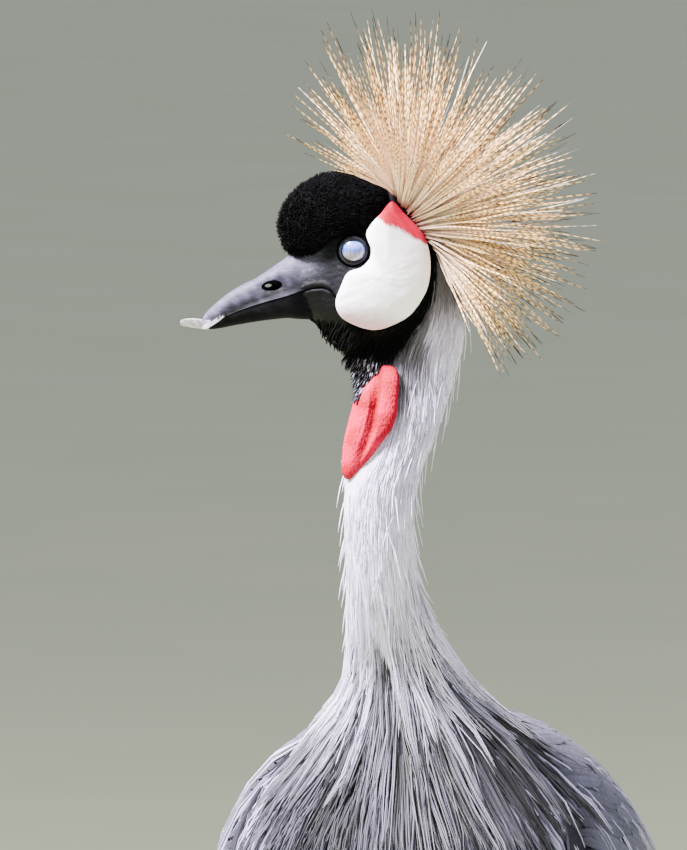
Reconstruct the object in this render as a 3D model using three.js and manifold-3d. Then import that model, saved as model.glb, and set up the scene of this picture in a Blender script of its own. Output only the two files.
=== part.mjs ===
// A grey crowned crane, life size and still, standing on both feet with its head turned to its right.
// Millimetres, +Z up. The bird faces -Y, its left side is +X, and its toes rest on Z = 0.
import * as THREE from "three";
import { mergeVertices } from "three/addons/utils/BufferGeometryUtils.js";
import Module from "manifold-3d";

const wasm = await Module();
wasm.setup();

const GAP = 0.3; // air between two nodes that touch
const ROOM = 0.4; // how far a node's room reaches past its own surface, to keep that air on slopes too
const SLIVER = 0.08; // edges shorter than this are closed up after a join
const GRID = 0.003; // corners of the finished solids lie on this grid
const UP = new THREE.Vector3(0, 0, 1);
const SIDES = { left: 1, right: -1 };
const { degToRad, lerp, clamp, smoothstep } = THREE.MathUtils;

// The body is an egg round a centre, with its long axis tipped up at the breast.
const BODY = { forward: 70, height: 545, pitch: 20, front: 118, rear: 262, up: 97, down: 106, side: 100 };

// The neck, station by station from inside the body to inside the head: its height, how far forward and to
// the left its middle lies, and its half width across the view and in depth.
const NECK = [
  { z: 608, forward: 88, left: 3, wide: 70, deep: 74 },
  { z: 628, forward: 98, left: 3, wide: 56, deep: 60 },
  { z: 650, forward: 110, left: 1.5, wide: 35, deep: 41 },
  { z: 668, forward: 121, left: -0.5, wide: 25.5, deep: 30 },
  { z: 687, forward: 134, left: -3, wide: 21.5, deep: 23 },
  { z: 706, forward: 143, left: -4.4, wide: 19, deep: 20 },
  { z: 746, forward: 147, left: -5.5, wide: 18.2, deep: 18.4 },
  { z: 765, forward: 143, left: -4, wide: 20, deep: 18 },
  { z: 785, forward: 136, left: 1.3, wide: 21.5, deep: 17.6 },
  { z: 804, forward: 128, left: 2.7, wide: 24.4, deep: 17.6 },
  { z: 824, forward: 124, left: 3.5, wide: 28.5, deep: 17 },
  { z: 845, forward: 122, left: 12, wide: 21, deep: 14.5 },
  { z: 862, forward: 121, left: 13, wide: 13, deep: 12 },
  { z: 873, forward: 121, left: 10, wide: 7, deep: 8 },
];
const NECK_SPLIT = 700; // height of the cut between the lower and the upper neck
const HEAD_TURN = 78; // degrees that the head is turned to the bird's right
const HEAD_AT = new THREE.Vector3(-6.2, -128.5, 865.6); // middle of the head

// The head without its pads, from the back of the skull to the root of the bill, in the head's own frame:
// how far forward, the top, the bottom and the half width.
const HEAD = [
  { forward: -25.5, top: 8, bottom: -10, wide: 5 },
  { forward: -23, top: 15, bottom: -20, wide: 11 },
  { forward: -17, top: 21.5, bottom: -29, wide: 15.5 },
  { forward: -7, top: 27, bottom: -37, wide: 18 },
  { forward: 5, top: 29, bottom: -41, wide: 18.5 },
  { forward: 16, top: 27, bottom: -40.5, wide: 17.5 },
  { forward: 26, top: 21, bottom: -35.5, wide: 15 },
  { forward: 36, top: 12.5, bottom: -29, wide: 11.8 },
  { forward: 45, top: 6, bottom: -26, wide: 9.6 },
];
const EYE = { forward: 15.7, up: 6.4, out: 11.2, radius: 8, lid: 7.5, lidThick: 1.1, lidOut: 16.3 };
const VELVET = { forward: 25, height: 21.5, pitch: -15, front: 28, rear: 30, up: 24, down: 21, side: 18.5 };
const MOUTH = { corner: 27, up: -12.3, slope: 17.5, slit: 0.7 };

// The bill, from inside the head to its tips. The lower half is the longer, as the upper tip is chipped.
const UPPER_BILL = [
  { forward: 38, top: 9, bottom: -15.2, wide: 10.4 },
  { forward: 50, top: 3, bottom: -18.6, wide: 8.8 },
  { forward: 60, top: -3, bottom: -21.5, wide: 7.2 },
  { forward: 70, top: -9.5, bottom: -24.6, wide: 5.8 },
  { forward: 80, top: -16.6, bottom: -28.4, wide: 4.6 },
  { forward: 87, top: -22.5, bottom: -31, wide: 3.8 },
  { forward: 90.5, top: -27.4, bottom: -31.6, wide: 2.4 },
];
const LOWER_BILL = [
  { forward: 38, top: -15.9, bottom: -26.6, wide: 9.8 },
  { forward: 50, top: -19.2, bottom: -27, wide: 8.2 },
  { forward: 62, top: -22.7, bottom: -28.6, wide: 6.6 },
  { forward: 74, top: -26.6, bottom: -31, wide: 5 },
  { forward: 84, top: -30.6, bottom: -33.4, wide: 3.8 },
  { forward: 91, top: -32.2, bottom: -34, wide: 3 },
  { forward: 100, top: -30, bottom: -31.4, wide: 1.6 },
];
const NOSTRIL = { forward: 57, up: -10.4, long: 4.6, high: 1.9, tilt: 17 };

// The bare cheek patch, as an outline of [forward, up] round the head's side, and how its dome narrows.
const CHEEK_OUTLINE = [
  [-3, 30], [-9, 24.5], [-17.5, 15], [-22, 0], [-20, -14], [-12, -25], [-1, -31.5], [10, -31],
  [20, -25.5], [24.5, -18], [20, -7.5], [10, -1.5], [6.6, 6.4], [9.3, 14], [4.5, 24.5],
];
const CHEEK_DOME = [
  { out: 6, scale: 0.99 }, { out: 17.4, scale: 1 }, { out: 20.6, scale: 0.9 }, { out: 22.8, scale: 0.64 },
  { out: 24, scale: 0.08 },
];
const CHEEK_MIDDLE = { forward: 0, up: -5 };
// The line that parts the red crown of the patch from the white.
const RED_EDGE = { forward: -6.5, up: 17.3, slope: 28 };

// The throat wattle, from its root under the chin to its tip: height, middle and half widths.
const WATTLE = [
  { up: -50, forward: -1, wide: 5, out: 14, thick: 3 },
  { up: -57, forward: 0.6, wide: 7.6, out: 17.2, thick: 4.6 },
  { up: -66, forward: 4.6, wide: 10.8, out: 19.4, thick: 5.2 },
  { up: -76, forward: 6.8, wide: 11.6, out: 21.4, thick: 5.6 },
  { up: -86, forward: 9.8, wide: 10.2, out: 22.4, thick: 5.8 },
  { up: -96, forward: 14, wide: 7.4, out: 22.4, thick: 5 },
  { up: -104.5, forward: 17.6, wide: 3.4, out: 21.4, thick: 2.8 },
];
const WATTLE_WRAP = 0.42; // how far the front edge turns in towards the throat, for each mm forward
const WATTLE_FOLD = 2.6; // depth of the groove that parts its two lobes

// The crest: stiff bristles that spread like a brush from a pad on the back of the crown.
const CREST_PAD = { forward: -14, height: 22, pitch: 53, front: 20, rear: 21, up: 7, down: 9, side: 11 };
const CREST = {
  count: 106, // bristles
  first: 48, // degrees from straight ahead, over the crown, to the foremost and to the hindmost bristle
  last: 240,
  spread: 50, // degrees that they lean out to each side
  longest: 97,
  shortest: 63,
  root: 0.95,
  tip: 0.3,
  sunk: 3,
  reach: 19, // how far along the pad the first and the last bristles stand from its middle
};

// Plumes that hang from the base of the neck over the breast and the shoulders, in tiers from the lowest up.
const PLUME_TIERS = [
  { z: 634, count: 15, front: 112, back: 90, lift: 1.2, half: 10 },
  { z: 654, count: 11, front: 97, back: 76, lift: 3.3, half: 8 },
  { z: 680, count: 8, front: 84, back: 60, lift: 5.2, half: 6 },
];
const PLUME = {
  sunk: 3, // how deep its root lies
  rise: 0.6, // how much further out each next point lies
  sink: 8, // how much lower the plumes of a tier grow at the sides than at the throat
  thick: 1.5,
  halves: [0.65, 1, 0.8, 0.12], // its half width at its points, as shares of the widest
};
const MANTLE = { forward: 88, height: 575, throat: 742, top: 80, low: -60, step: 5, reach: 240 };

// The folded wing, on a surface that follows the body and then droops behind it.
const WING = { front: 60, rear: -196, top: 12, bottom: 112, thick: 9 };
const DROOP = { from: -130, taper: 0.0021, fall: 0.0013 };
const BLOCK_STEP = 22; // longest face of the wing's own surface along it, and round it in degrees
const BLOCK_TURN = 18;
const LONG_FEATHER = 120; // feathers longer than this narrow as the wing does
const REAR_WIDTH = 0.62; // how wide a rear feather is at its end, as a share of its width at the root
const COVERT_ROWS = [
  { along: -6, count: 6, length: 62 },
  { along: -50, count: 5, length: 64 },
];
const COVERT_TURNS = [30, 104]; // the uppermost and the lowest covert's place round the wing, in degrees
const COVERT = { half: 12, steps: 2, root: -1.6, lift: 2.6, rise: 2.4, shingle: -7, fan: 4, pointed: false };
const VANE_THICK = 0.9;
const POINTED_THICK = 1.5;

// Rear feather groups of the wing: the stretch of the wing that carries their roots, and the feathers' reach.
const REAR_GROUPS = {
  gold: {
    root: [-118, -172], turns: [16, 48], block: [6, 3, false], sunk: 4.5, lift: 7.6, fan: 40,
    count: 7, length: 150, half: 3.2, steps: 3, shingle: 0, pointed: true,
  },
  secondaries: {
    root: [-124, -186], turns: [14, 104], block: [0, -2], sunk: -4, lift: -3, fan: 0,
    count: 7, length: 206, half: 12, steps: 3, shingle: -9, pointed: false,
  },
  primaries: {
    root: [-204, -240], turns: [58, 100], block: [-9, -12, false], sunk: -10.5, lift: -14.6, fan: 4,
    count: 4, length: 132, half: 8, steps: 3, shingle: -9, pointed: false,
  },
};
const TAIL = { along: -242, up: -4, count: 7, length: 112, spread: 13, drop: 16, layer: 1.6, root: 11 };
const TAIL_HALVES = [4.5, 9, 10, 6]; // half width of a tail feather from its root to its end

// Legs and feet.
const LEG = {
  spread: 44, // from the bird's middle plane
  forward: 6, // of the ankle
  kneeForward: 34,
  kneeHeight: 452,
  hockBack: 12, // behind the ankle
  hockHeight: 216,
  ankleHeight: 20,
};
const FEATHERED = 0.52; // share of the way from knee to hock that the thigh's feathers cover
const THIGH_WIDTHS = [
  { wide: 26, deep: 38 }, { wide: 29, deep: 41 }, { wide: 23, deep: 29 }, { wide: 14, deep: 17 },
  { wide: 8.6, deep: 9.4 },
];
const SHANK_WIDTHS = { tibia: 6.2, hock: 9, tarsus: 5.2, ankle: 7 };
const TOES = [
  { turn: 0, length: 84, half: 4.6 },
  { turn: 27, length: 66, half: 4.2 },
  { turn: -27, length: 69, half: 4.2 },
  { turn: 176, length: 42, half: 3.8 },
];
const CLAW = { length: 11, half: 2 };

const PAINT = {
  grey: { color: "#a9abb8", roughness: 0.9 },
  paleGrey: { color: "#d6d5df", roughness: 0.9 },
  slate: { color: "#8b8d9c", roughness: 0.9 },
  black: { color: "#14141a", roughness: 0.95 },
  skinBlack: { color: "#3a3a42", roughness: 0.7 },
  horn: { color: "#7d7e8c", roughness: 0.5 },
  white: { color: "#f6f1f6", roughness: 0.6 },
  red: { color: "#e2505c", roughness: 0.6 },
  eye: { color: "#a9b6d6", roughness: 0.1 },
  straw: { color: "#dcb98f", roughness: 0.7 },
  gold: { color: "#cfa45a", roughness: 0.8 },
  chestnut: { color: "#5e2f1f", roughness: 0.8 },
  leg: { color: "#2f3036", roughness: 0.7 },
};

// Repeatable random numbers from 0 to 1.
function dice(seed) {
  let state = seed;
  return () => {
    state = (state * 1664525 + 1013904223) % 4294967296;
    return state / 4294967296;
  };
}

// A point given as distance forward, to the left and up.
function at(forward, left, up) {
  return new THREE.Vector3(left, -forward, up);
}

// Solids: a closed three.js geometry becomes one, and turns back into a geometry for its mesh.
function solidOf(geometry, matrix = new THREE.Matrix4()) {
  const bare = new THREE.BufferGeometry();
  bare.setAttribute("position", geometry.getAttribute("position").clone());
  bare.setIndex(geometry.getIndex());
  bare.applyMatrix4(matrix);
  const merged = mergeVertices(bare, 1e-4);
  const corners = merged.getIndex().array;
  const kept = [];
  for (let i = 0; i < corners.length; i += 3) {
    const [a, b, c] = corners.slice(i, i + 3);
    if (a !== b && b !== c && c !== a) kept.push(a, b, c);
  }
  const place = merged.getAttribute("position");
  const corner = (i) => new THREE.Vector3().fromBufferAttribute(place, kept[i]);
  let sixfold = 0; // six times the volume, negative where the faces look inwards
  for (let i = 0; i < kept.length; i += 3) sixfold += corner(i).dot(corner(i + 1).cross(corner(i + 2)));
  if (sixfold < 0) kept.reverse();
  const mesh = new wasm.Mesh({
    numProp: 3,
    vertProperties: new Float32Array(place.array),
    triVerts: new Uint32Array(kept),
  });
  return new wasm.Manifold(mesh);
}

function geometryOf(solid) {
  const mesh = solid.getMesh();
  const positions = new Float32Array(mesh.numVert * 3);
  for (let i = 0; i < mesh.numVert; i++) {
    positions.set(mesh.vertProperties.subarray(i * mesh.numProp, i * mesh.numProp + 3), i * 3);
  }
  const geometry = new THREE.BufferGeometry();
  geometry.setAttribute("position", new THREE.BufferAttribute(positions, 3));
  geometry.setIndex(new THREE.BufferAttribute(mesh.triVerts, 1));
  return geometry;
}

function joined(solids) {
  return solids.reduce((sum, solid) => sum.add(solid));
}

function cut(solid, ...cutters) {
  return cutters.reduce((rest, cutter) => rest.subtract(cutter), solid);
}

// The solid with every corner pushed outwards, as the room that its neighbours leave it.
function roomFor(solid, by = ROOM) {
  const geometry = geometryOf(solid);
  geometry.computeVertexNormals();
  const place = geometry.getAttribute("position");
  geometry.getAttribute("normal").array.forEach((value, i) => (place.array[i] += value * by));
  return solidOf(geometry);
}

function largest(solid) {
  return solid.decompose().reduce((best, piece) => (piece.volume() > best.volume() ? piece : best));
}

// The largest closed surface of a solid, on a fine grid and without the slivers that joining leaves.
function tidied(solid) {
  const geometry = geometryOf(largest(solid.simplify(SLIVER)));
  const place = geometry.getAttribute("position");
  place.array.forEach((value, i) => (place.array[i] = Math.round(value / GRID) * GRID));
  return largest(solidOf(geometry));
}

// A closed skin over rings of points that wind the same way. Thin blades ask for the second half of each
// ring to be split like the first, so that their two faces never cross.
function skin(rings, thin = false) {
  const sides = rings[0].length;
  const positions = rings.flat().flatMap((p) => [p.x, p.y, p.z]);
  const index = [];
  for (let i = 0; i + 1 < rings.length; i++) {
    for (let j = 0; j < sides; j++) {
      const a = i * sides + j;
      const b = i * sides + ((j + 1) % sides);
      const c = b + sides;
      const d = a + sides;
      if (thin && j >= sides / 2) index.push(a, b, d, b, c, d);
      else index.push(a, b, c, a, c, d);
    }
  }
  const end = (rings.length - 1) * sides;
  for (let j = 1; j + 1 < sides; j++) {
    index.push(0, j + 1, j);
    index.push(end, end + j, end + j + 1);
  }
  const geometry = new THREE.BufferGeometry();
  geometry.setAttribute("position", new THREE.Float32BufferAttribute(positions, 3));
  geometry.setIndex(index);
  return geometry;
}

// Values read along a list of stations by a smooth curve, so that few stations give a flowing shape.
function readStations(stations, key, share) {
  const last = stations.length - 1;
  const place = clamp(share, 0, 1) * last;
  const i = Math.min(Math.floor(place), last - 1);
  const t = place - i;
  const pick = (k) => stations[clamp(k, 0, last)][key];
  const [p0, p1, p2, p3] = [pick(i - 1), pick(i), pick(i + 1), pick(i + 2)];
  const bend = 2 * p0 - 5 * p1 + 4 * p2 - p3;
  return 0.5 * (2 * p1 + (p2 - p0) * t + bend * t * t + (3 * p1 - p0 - 3 * p2 + p3) * t ** 3);
}

// A rounded body with its own reach forwards, backwards, up, down and to the sides, pitched about X.
class Egg {
  constructor(sizes) {
    Object.assign(this, sizes);
    const tilt = degToRad(sizes.pitch);
    this.centre = at(sizes.forward, 0, sizes.height);
    this.axis = at(Math.cos(tilt), 0, Math.sin(tilt));
    this.normalAxis = at(-Math.sin(tilt), 0, Math.cos(tilt));
  }

  grown(by) {
    const sizes = { ...this };
    for (const key of ["front", "rear", "up", "down", "side"]) sizes[key] += by;
    return new Egg(sizes);
  }

  // The place of p from the centre: along the axis, to the left and up.
  local(p) {
    const from = p.clone().sub(this.centre);
    return { along: from.dot(this.axis), left: from.x, up: from.dot(this.normalAxis) };
  }

  world({ along, left, up }) {
    const place = this.centre.clone().addScaledVector(this.axis, along).addScaledVector(this.normalAxis, up);
    return place.add(at(0, left, 0));
  }

  // How far out p lies, where 1 is the surface.
  depth(p) {
    const { along, left, up } = this.local(p);
    const lengthwise = along / (along > 0 ? this.front : this.rear);
    return Math.hypot(lengthwise, left / this.side, up / (up > 0 ? this.up : this.down));
  }

  solid(around, rings, matrix) {
    const ball = new THREE.SphereGeometry(1, around, rings);
    const place = ball.getAttribute("position");
    for (let i = 0; i < place.count; i++) {
      const [x, y, z] = [place.getX(i), place.getY(i), -place.getZ(i)];
      const along = y * (y > 0 ? this.front : this.rear);
      const p = this.world({ along, left: x * this.side, up: z * (z > 0 ? this.up : this.down) });
      place.setXYZ(i, p.x, p.y, p.z);
    }
    return solidOf(ball, matrix);
  }
}

const body = new Egg(BODY);
const velvetPad = new Egg(VELVET);
const crestPad = new Egg(CREST_PAD);
const headMatrix = new THREE.Matrix4().makeRotationZ(degToRad(-HEAD_TURN)).setPosition(HEAD_AT);
const viewTurn = degToRad(90 - HEAD_TURN); // the upper neck is wide along the head's own length

// The neck's ring at a height, and whether a point is inside it.
function neckShare(z) {
  const last = NECK.length - 1;
  const i = clamp(NECK.findIndex((station) => station.z > z) - 1, 0, last - 1);
  const above = z >= NECK[last].z ? last - 1 : i;
  return (above + clamp((z - NECK[above].z) / (NECK[above + 1].z - NECK[above].z), 0, 1)) / last;
}

function neckStation(z) {
  const share = neckShare(z);
  const read = (key) => readStations(NECK, key, share);
  return { middle: at(read("forward"), read("left"), z), wide: read("wide"), deep: read("deep") };
}

function neckPoint(z, angle) {
  const { middle, wide, deep } = neckStation(z);
  const offset = new THREE.Vector3(wide * Math.cos(angle), deep * Math.sin(angle), 0);
  return middle.clone().add(offset.applyAxisAngle(UP, viewTurn));
}

function neckSolid(low, high, levels, sides) {
  const rings = Array.from({ length: levels + 1 }, (_, i) => {
    const z = lerp(low, high, i / levels);
    return Array.from({ length: sides }, (_, j) => neckPoint(z, (2 * Math.PI * j) / sides));
  });
  return solidOf(skin(rings));
}

// A skin over stations that run forward, each with its top, bottom and half width.
function facialSolid(stations, levels, sides) {
  const rings = Array.from({ length: levels + 1 }, (_, i) => {
    const read = (key) => readStations(stations, key, i / levels);
    const middle = (read("top") + read("bottom")) / 2;
    const high = (read("top") - read("bottom")) / 2;
    return Array.from({ length: sides }, (_, j) => {
      const angle = (-2 * Math.PI * j) / sides;
      return at(read("forward"), read("wide") * Math.cos(angle), middle + high * Math.sin(angle));
    });
  });
  return solidOf(skin(rings), headMatrix);
}

// A half of the bill: domed on one side and flat along the line of the mouth.
function billSolid(stations, levels, sides, domeUp) {
  const rings = Array.from({ length: levels + 1 }, (_, i) => {
    const read = (key) => readStations(stations, key, i / levels);
    const [flat, peak] = domeUp ? [read("bottom"), read("top")] : [read("top"), read("bottom")];
    return Array.from({ length: sides }, (_, j) => {
      const angle = (Math.PI * j) / (sides - 1);
      return at(read("forward"), read("wide") * Math.cos(angle), lerp(flat, peak, Math.sin(angle) ** 0.8));
    });
  });
  return solidOf(skin(rings), headMatrix);
}

function headBall(forward, out, up, radius, around = 10, rings = 7) {
  const ball = new THREE.SphereGeometry(radius, around, rings);
  const place = at(forward, out, up);
  return solidOf(ball.rotateZ(Math.PI / 2).translate(place.x, place.y, place.z), headMatrix);
}

// A wide flat block under a sloping line on the head's side, used to part one solid in two.
function headWedge(forward, up, slope, from, to, start = -60) {
  const size = 120;
  const block = new THREE.BoxGeometry(size, size, to - from);
  block.translate(0, -start - size / 2, (from + to) / 2).rotateX(degToRad(slope)).translate(0, -forward, up);
  return solidOf(block, headMatrix);
}

// The bare cheek patch, domed out from the side of the head.
function cheekSolid(side) {
  const loop = new THREE.CatmullRomCurve3(CHEEK_OUTLINE.map(([forward, up]) => at(forward, 0, up)), true);
  const outline = loop.getPoints(20).slice(0, -1);
  const middle = at(CHEEK_MIDDLE.forward, 0, CHEEK_MIDDLE.up);
  const rings = CHEEK_DOME.map(({ out, scale }) =>
    outline.map((p) => middle.clone().lerp(p, scale).add(at(0, side * out, 0))),
  );
  return solidOf(skin(rings), headMatrix);
}

// The wattle hugs the near side of the throat, and a groove parts its two lobes.
function wattleSolid() {
  const levels = 9;
  const sides = 14;
  const rings = Array.from({ length: levels + 1 }, (_, i) => {
    const read = (key) => readStations(WATTLE, key, i / levels);
    return Array.from({ length: sides }, (_, j) => {
      const angle = (-2 * Math.PI * j) / sides;
      const forward = read("wide") * Math.cos(angle);
      const groove = WATTLE_FOLD * Math.exp(-((forward / (0.34 * read("wide"))) ** 2)) * (i / levels);
      const out = read("thick") * Math.sin(angle) - (Math.sin(angle) > 0.2 ? groove : 0);
      return at(read("forward") + forward, read("out") - WATTLE_WRAP * forward + out, read("up"));
    });
  });
  return solidOf(skin(rings), headMatrix);
}

// A bristle: three-sided and tapered.
function bristle(root, tip) {
  const axis = tip.clone().sub(root).normalize();
  const side = new THREE.Vector3().crossVectors(axis, UP).normalize();
  const stations = [{ place: root, radius: CREST.root }, { place: tip, radius: CREST.tip }];
  const rings = stations.map(({ place, radius }) =>
    [0, 1, 2].map((j) => {
      const spoke = side.clone().applyAxisAngle(axis, (2 * Math.PI * j) / 3);
      return place.clone().addScaledVector(spoke, radius);
    }),
  );
  return skin(rings);
}

// The crest in the head's own frame: a brush of bristles whose length follows the way that they point.
function crestSolid() {
  const random = dice(7);
  const pieces = [crestPad.solid(12, 7, headMatrix)];
  const golden = Math.PI * (3 - Math.sqrt(5));
  for (let i = 0; i < CREST.count; i++) {
    const share = (i + 0.5) / CREST.count;
    const turn = degToRad(lerp(CREST.first, CREST.last, share) + 6 * (random() - 0.5));
    const swing = ((i * golden) / (2 * Math.PI)) % 1;
    const lean = degToRad(CREST.spread * (2 * swing - 1) + 5 * (random() - 0.5));
    const heading = at(Math.cos(turn) * Math.cos(lean), Math.sin(lean), Math.sin(turn) * Math.cos(lean));
    const length = lerp(CREST.longest, CREST.shortest, share * share) * lerp(0.84, 1, random());
    const from = crestPad.centre.clone().addScaledVector(crestPad.axis, CREST.reach * (1 - 2 * share));
    let depth = 0;
    while (crestPad.depth(from.clone().addScaledVector(heading, depth)) < 1) depth += 0.5;
    const root = from.clone().addScaledVector(heading, depth - CREST.sunk);
    const tip = from.clone().addScaledVector(heading, length);
    pieces.push(solidOf(bristle(root, tip), headMatrix));
  }
  return joined(pieces);
}

// A flat, tapered blade along a row of points, each with the way that its face looks.
function blade(points, faces, halves, thick, flat = false) {
  const rings = points.map((p, i) => {
    const before = points[Math.max(i - 1, 0)];
    const after = points[Math.min(i + 1, points.length - 1)];
    const run = after.clone().sub(before).normalize();
    const face = faces[i].clone().addScaledVector(run, -faces[i].dot(run)).normalize();
    const across = new THREE.Vector3().crossVectors(face, run);
    const edge = (sideways) => p.clone().addScaledVector(across, sideways * halves[i]);
    const corner = (sideways, out) => edge(sideways).addScaledVector(face, out);
    const half = thick / 2;
    if (flat) return [corner(1, half), corner(-1, half), corner(-1, -half), corner(1, -half)];
    return [corner(1, 0), corner(0, half), corner(-1, 0), corner(0, -half)];
  });
  return skin(rings, true);
}

// How thick the folded wing is over the body at a place on it, 0 off the wing.
function wingThickness(along, turn) {
  const lengthwise = (WING.front - along) / (WING.front - WING.rear);
  const crosswise = (turn - WING.top) / (WING.bottom - WING.top);
  if (lengthwise <= 0 || crosswise <= 0 || lengthwise >= 1.6 || crosswise >= 1) return 0;
  const rise = smoothstep(lengthwise, 0, 0.3);
  return WING.thick * rise * Math.sqrt(Math.sin(Math.PI * crosswise));
}

// A point on the wing's surface: it follows the body, and behind it narrows and droops. Turn is 0 on the
// back and 90 at the side.
function wingPoint(side, along, turn, lift) {
  const behind = Math.max(DROOP.from - along, 0);
  const reach = along > 0 ? body.front : body.rear;
  const held = Math.max(along, DROOP.from);
  const scale = Math.sqrt(1 - (held / reach) ** 2) - DROOP.taper * behind;
  const angle = degToRad(turn);
  const high = Math.cos(angle) > 0 ? body.up : body.down;
  const left = side * body.side * Math.sin(angle);
  const base = body.world({ along, left: scale * left, up: scale * high * Math.cos(angle) });
  const outward = body.world({ along: 0.25, left: left / body.side, up: Math.cos(angle) });
  const face = outward.sub(body.centre).normalize();
  base.z -= DROOP.fall * behind * behind;
  return { place: base.clone().addScaledVector(face, lift + wingThickness(along, turn)), face };
}

// A stretch of the wing, between two places along it and two turns, that lies between two lifts. The inner
// one is counted from the body's own skin where the stretch fills the wing.
function wingBlock(side, [front, rear], [top, bottom], outer, inner, fills = true) {
  const levels = Math.ceil((front - rear) / BLOCK_STEP);
  const steps = Math.ceil((bottom - top) / BLOCK_TURN);
  const rings = Array.from({ length: levels + 1 }, (_, i) => {
    const along = lerp(rear, front, i / levels);
    const turns = Array.from({ length: steps + 1 }, (_, j) => lerp(top, bottom, j / steps));
    const skinDepth = (turn) => (fills ? wingThickness(along, turn) : 0);
    const over = turns.map((turn) => wingPoint(side, along, turn, outer).place);
    const under = turns.map((turn) => wingPoint(side, along, turn, inner - skinDepth(turn)).place);
    return [...over, ...under.reverse()];
  });
  return solidOf(skin(rings));
}

// A feather laid on the wing from a root place, running backwards while it turns by fan degrees.
function wingFeather(side, { along, turn, length, half, root, lift, rise, fan, steps, shingle, pointed }) {
  const points = [];
  const faces = [];
  const halves = [];
  for (let k = 0; k <= steps; k++) {
    const share = k / steps;
    const height = k === 0 ? root : lift + rise * share;
    const spot = wingPoint(side, along - length * share, turn + fan * share * share, height);
    points.push(spot.place);
    faces.push(spot.face.clone().applyAxisAngle(body.axis, degToRad(side * shingle)));
    const belly = pointed ? Math.sin(Math.PI * clamp(0.24 + 0.72 * share, 0, 1)) : 1 - 0.45 * share ** 4;
    const narrowing = length > LONG_FEATHER ? lerp(1, REAR_WIDTH, share) : 1;
    halves.push(half * narrowing * (k === steps ? (pointed ? 0.12 : 0.5) : belly));
  }
  return solidOf(blade(points, faces, halves, pointed ? POINTED_THICK : VANE_THICK, !pointed));
}

function wingSolid(side) {
  const random = dice(31);
  const span = [WING.front, REAR_GROUPS.secondaries.root[0] + ROOM];
  const pieces = [wingBlock(side, span, [WING.top, WING.bottom], 0, -2)];
  COVERT_ROWS.forEach((row, r) => {
    for (let i = 0; i < row.count; i++) {
      const share = (i + (r % 2 ? 0.5 : 0.25)) / row.count;
      const place = { turn: lerp(...COVERT_TURNS, share), along: row.along + 4 * (random() - 0.5) };
      const length = row.length * lerp(0.94, 1.06, random());
      pieces.push(wingFeather(side, { ...COVERT, ...place, length }));
    }
  });
  return joined(pieces);
}

function rearGroup(side, name) {
  const group = REAR_GROUPS[name];
  const random = dice(53);
  const [front, rear] = group.root;
  const pieces = [wingBlock(side, group.root, group.turns, ...group.block)];
  for (let i = 0; i < group.count; i++) {
    const share = (i + 0.5) / group.count;
    const place = { turn: lerp(...group.turns, share), along: lerp(front, rear, 0.5 + 0.08 * random()) };
    const length = group.length * lerp(0.86, 1, Math.sin(Math.PI * share)) * lerp(0.95, 1, random());
    pieces.push(wingFeather(side, { ...group, ...place, length, root: group.sunk, rise: 1.5 }));
  }
  return joined(pieces);
}

// The tail: a narrow fan of square feathers from a small root at the rump.
function tailSolid() {
  const root = new Egg({ ...BODY, forward: 0, height: 0, front: 20, rear: 24, up: 9, down: 9, side: 17 });
  const place = body.world({ along: TAIL.along, left: 0, up: TAIL.up });
  const base = root.solid(10, 6, new THREE.Matrix4().setPosition(place));
  const pieces = [base];
  const half = (TAIL.count - 1) / 2;
  for (let i = 0; i < TAIL.count; i++) {
    const share = (i - half) / half;
    const swing = degToRad(TAIL.spread * share);
    const run = body.axis.clone().negate().applyAxisAngle(body.normalAxis, -swing);
    run.addScaledVector(UP, -Math.tan(degToRad(TAIL.drop))).normalize();
    const level = TAIL.layer * (half - Math.abs(i - half)) - (i < half ? TAIL.layer / 2 : 0);
    const start = place.clone().add(at(0, TAIL.root * share, level - 2));
    const stride = (TAIL.length * (1 - 0.1 * share * share)) / (TAIL_HALVES.length - 1);
    const points = TAIL_HALVES.map((_, k) => start.clone().addScaledVector(run, stride * k));
    const faces = points.map(() => body.normalAxis);
    pieces.push(solidOf(blade(points, faces, TAIL_HALVES, VANE_THICK, true)));
  }
  return joined(pieces);
}

// Whether a point is inside the body with its wings, or inside the neck.
function isInside(p) {
  const { along, left, up } = body.local(p);
  const turn = THREE.MathUtils.radToDeg(Math.atan2(Math.abs(left) / body.side, up / body.up));
  if (body.grown(wingThickness(along, turn)).depth(p) < 1) return true;
  if (p.z < NECK[0].z || p.z > MANTLE.throat) return false;
  const { middle, wide, deep } = neckStation(p.z);
  return Math.hypot((p.x - middle.x) / wide, (p.y - middle.y) / deep) < 1;
}

// The line down the neck and over the shoulder or the breast at one bearing, seen from a point in the chest.
function mantleLine(bearing) {
  const centre = at(MANTLE.forward, 0, MANTLE.height);
  const points = [];
  for (let rise = MANTLE.top; rise >= MANTLE.low; rise -= MANTLE.step) {
    const ray = new THREE.Vector3().setFromSphericalCoords(1, degToRad(90 - rise), 0);
    ray.set(ray.z * Math.cos(bearing), ray.z * Math.sin(bearing), ray.y);
    let reach = MANTLE.reach;
    while (reach > 0 && !isInside(centre.clone().addScaledVector(ray, reach))) reach -= 1;
    points.push(centre.clone().addScaledVector(ray, reach));
  }
  return new THREE.CatmullRomCurve3(points);
}

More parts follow.
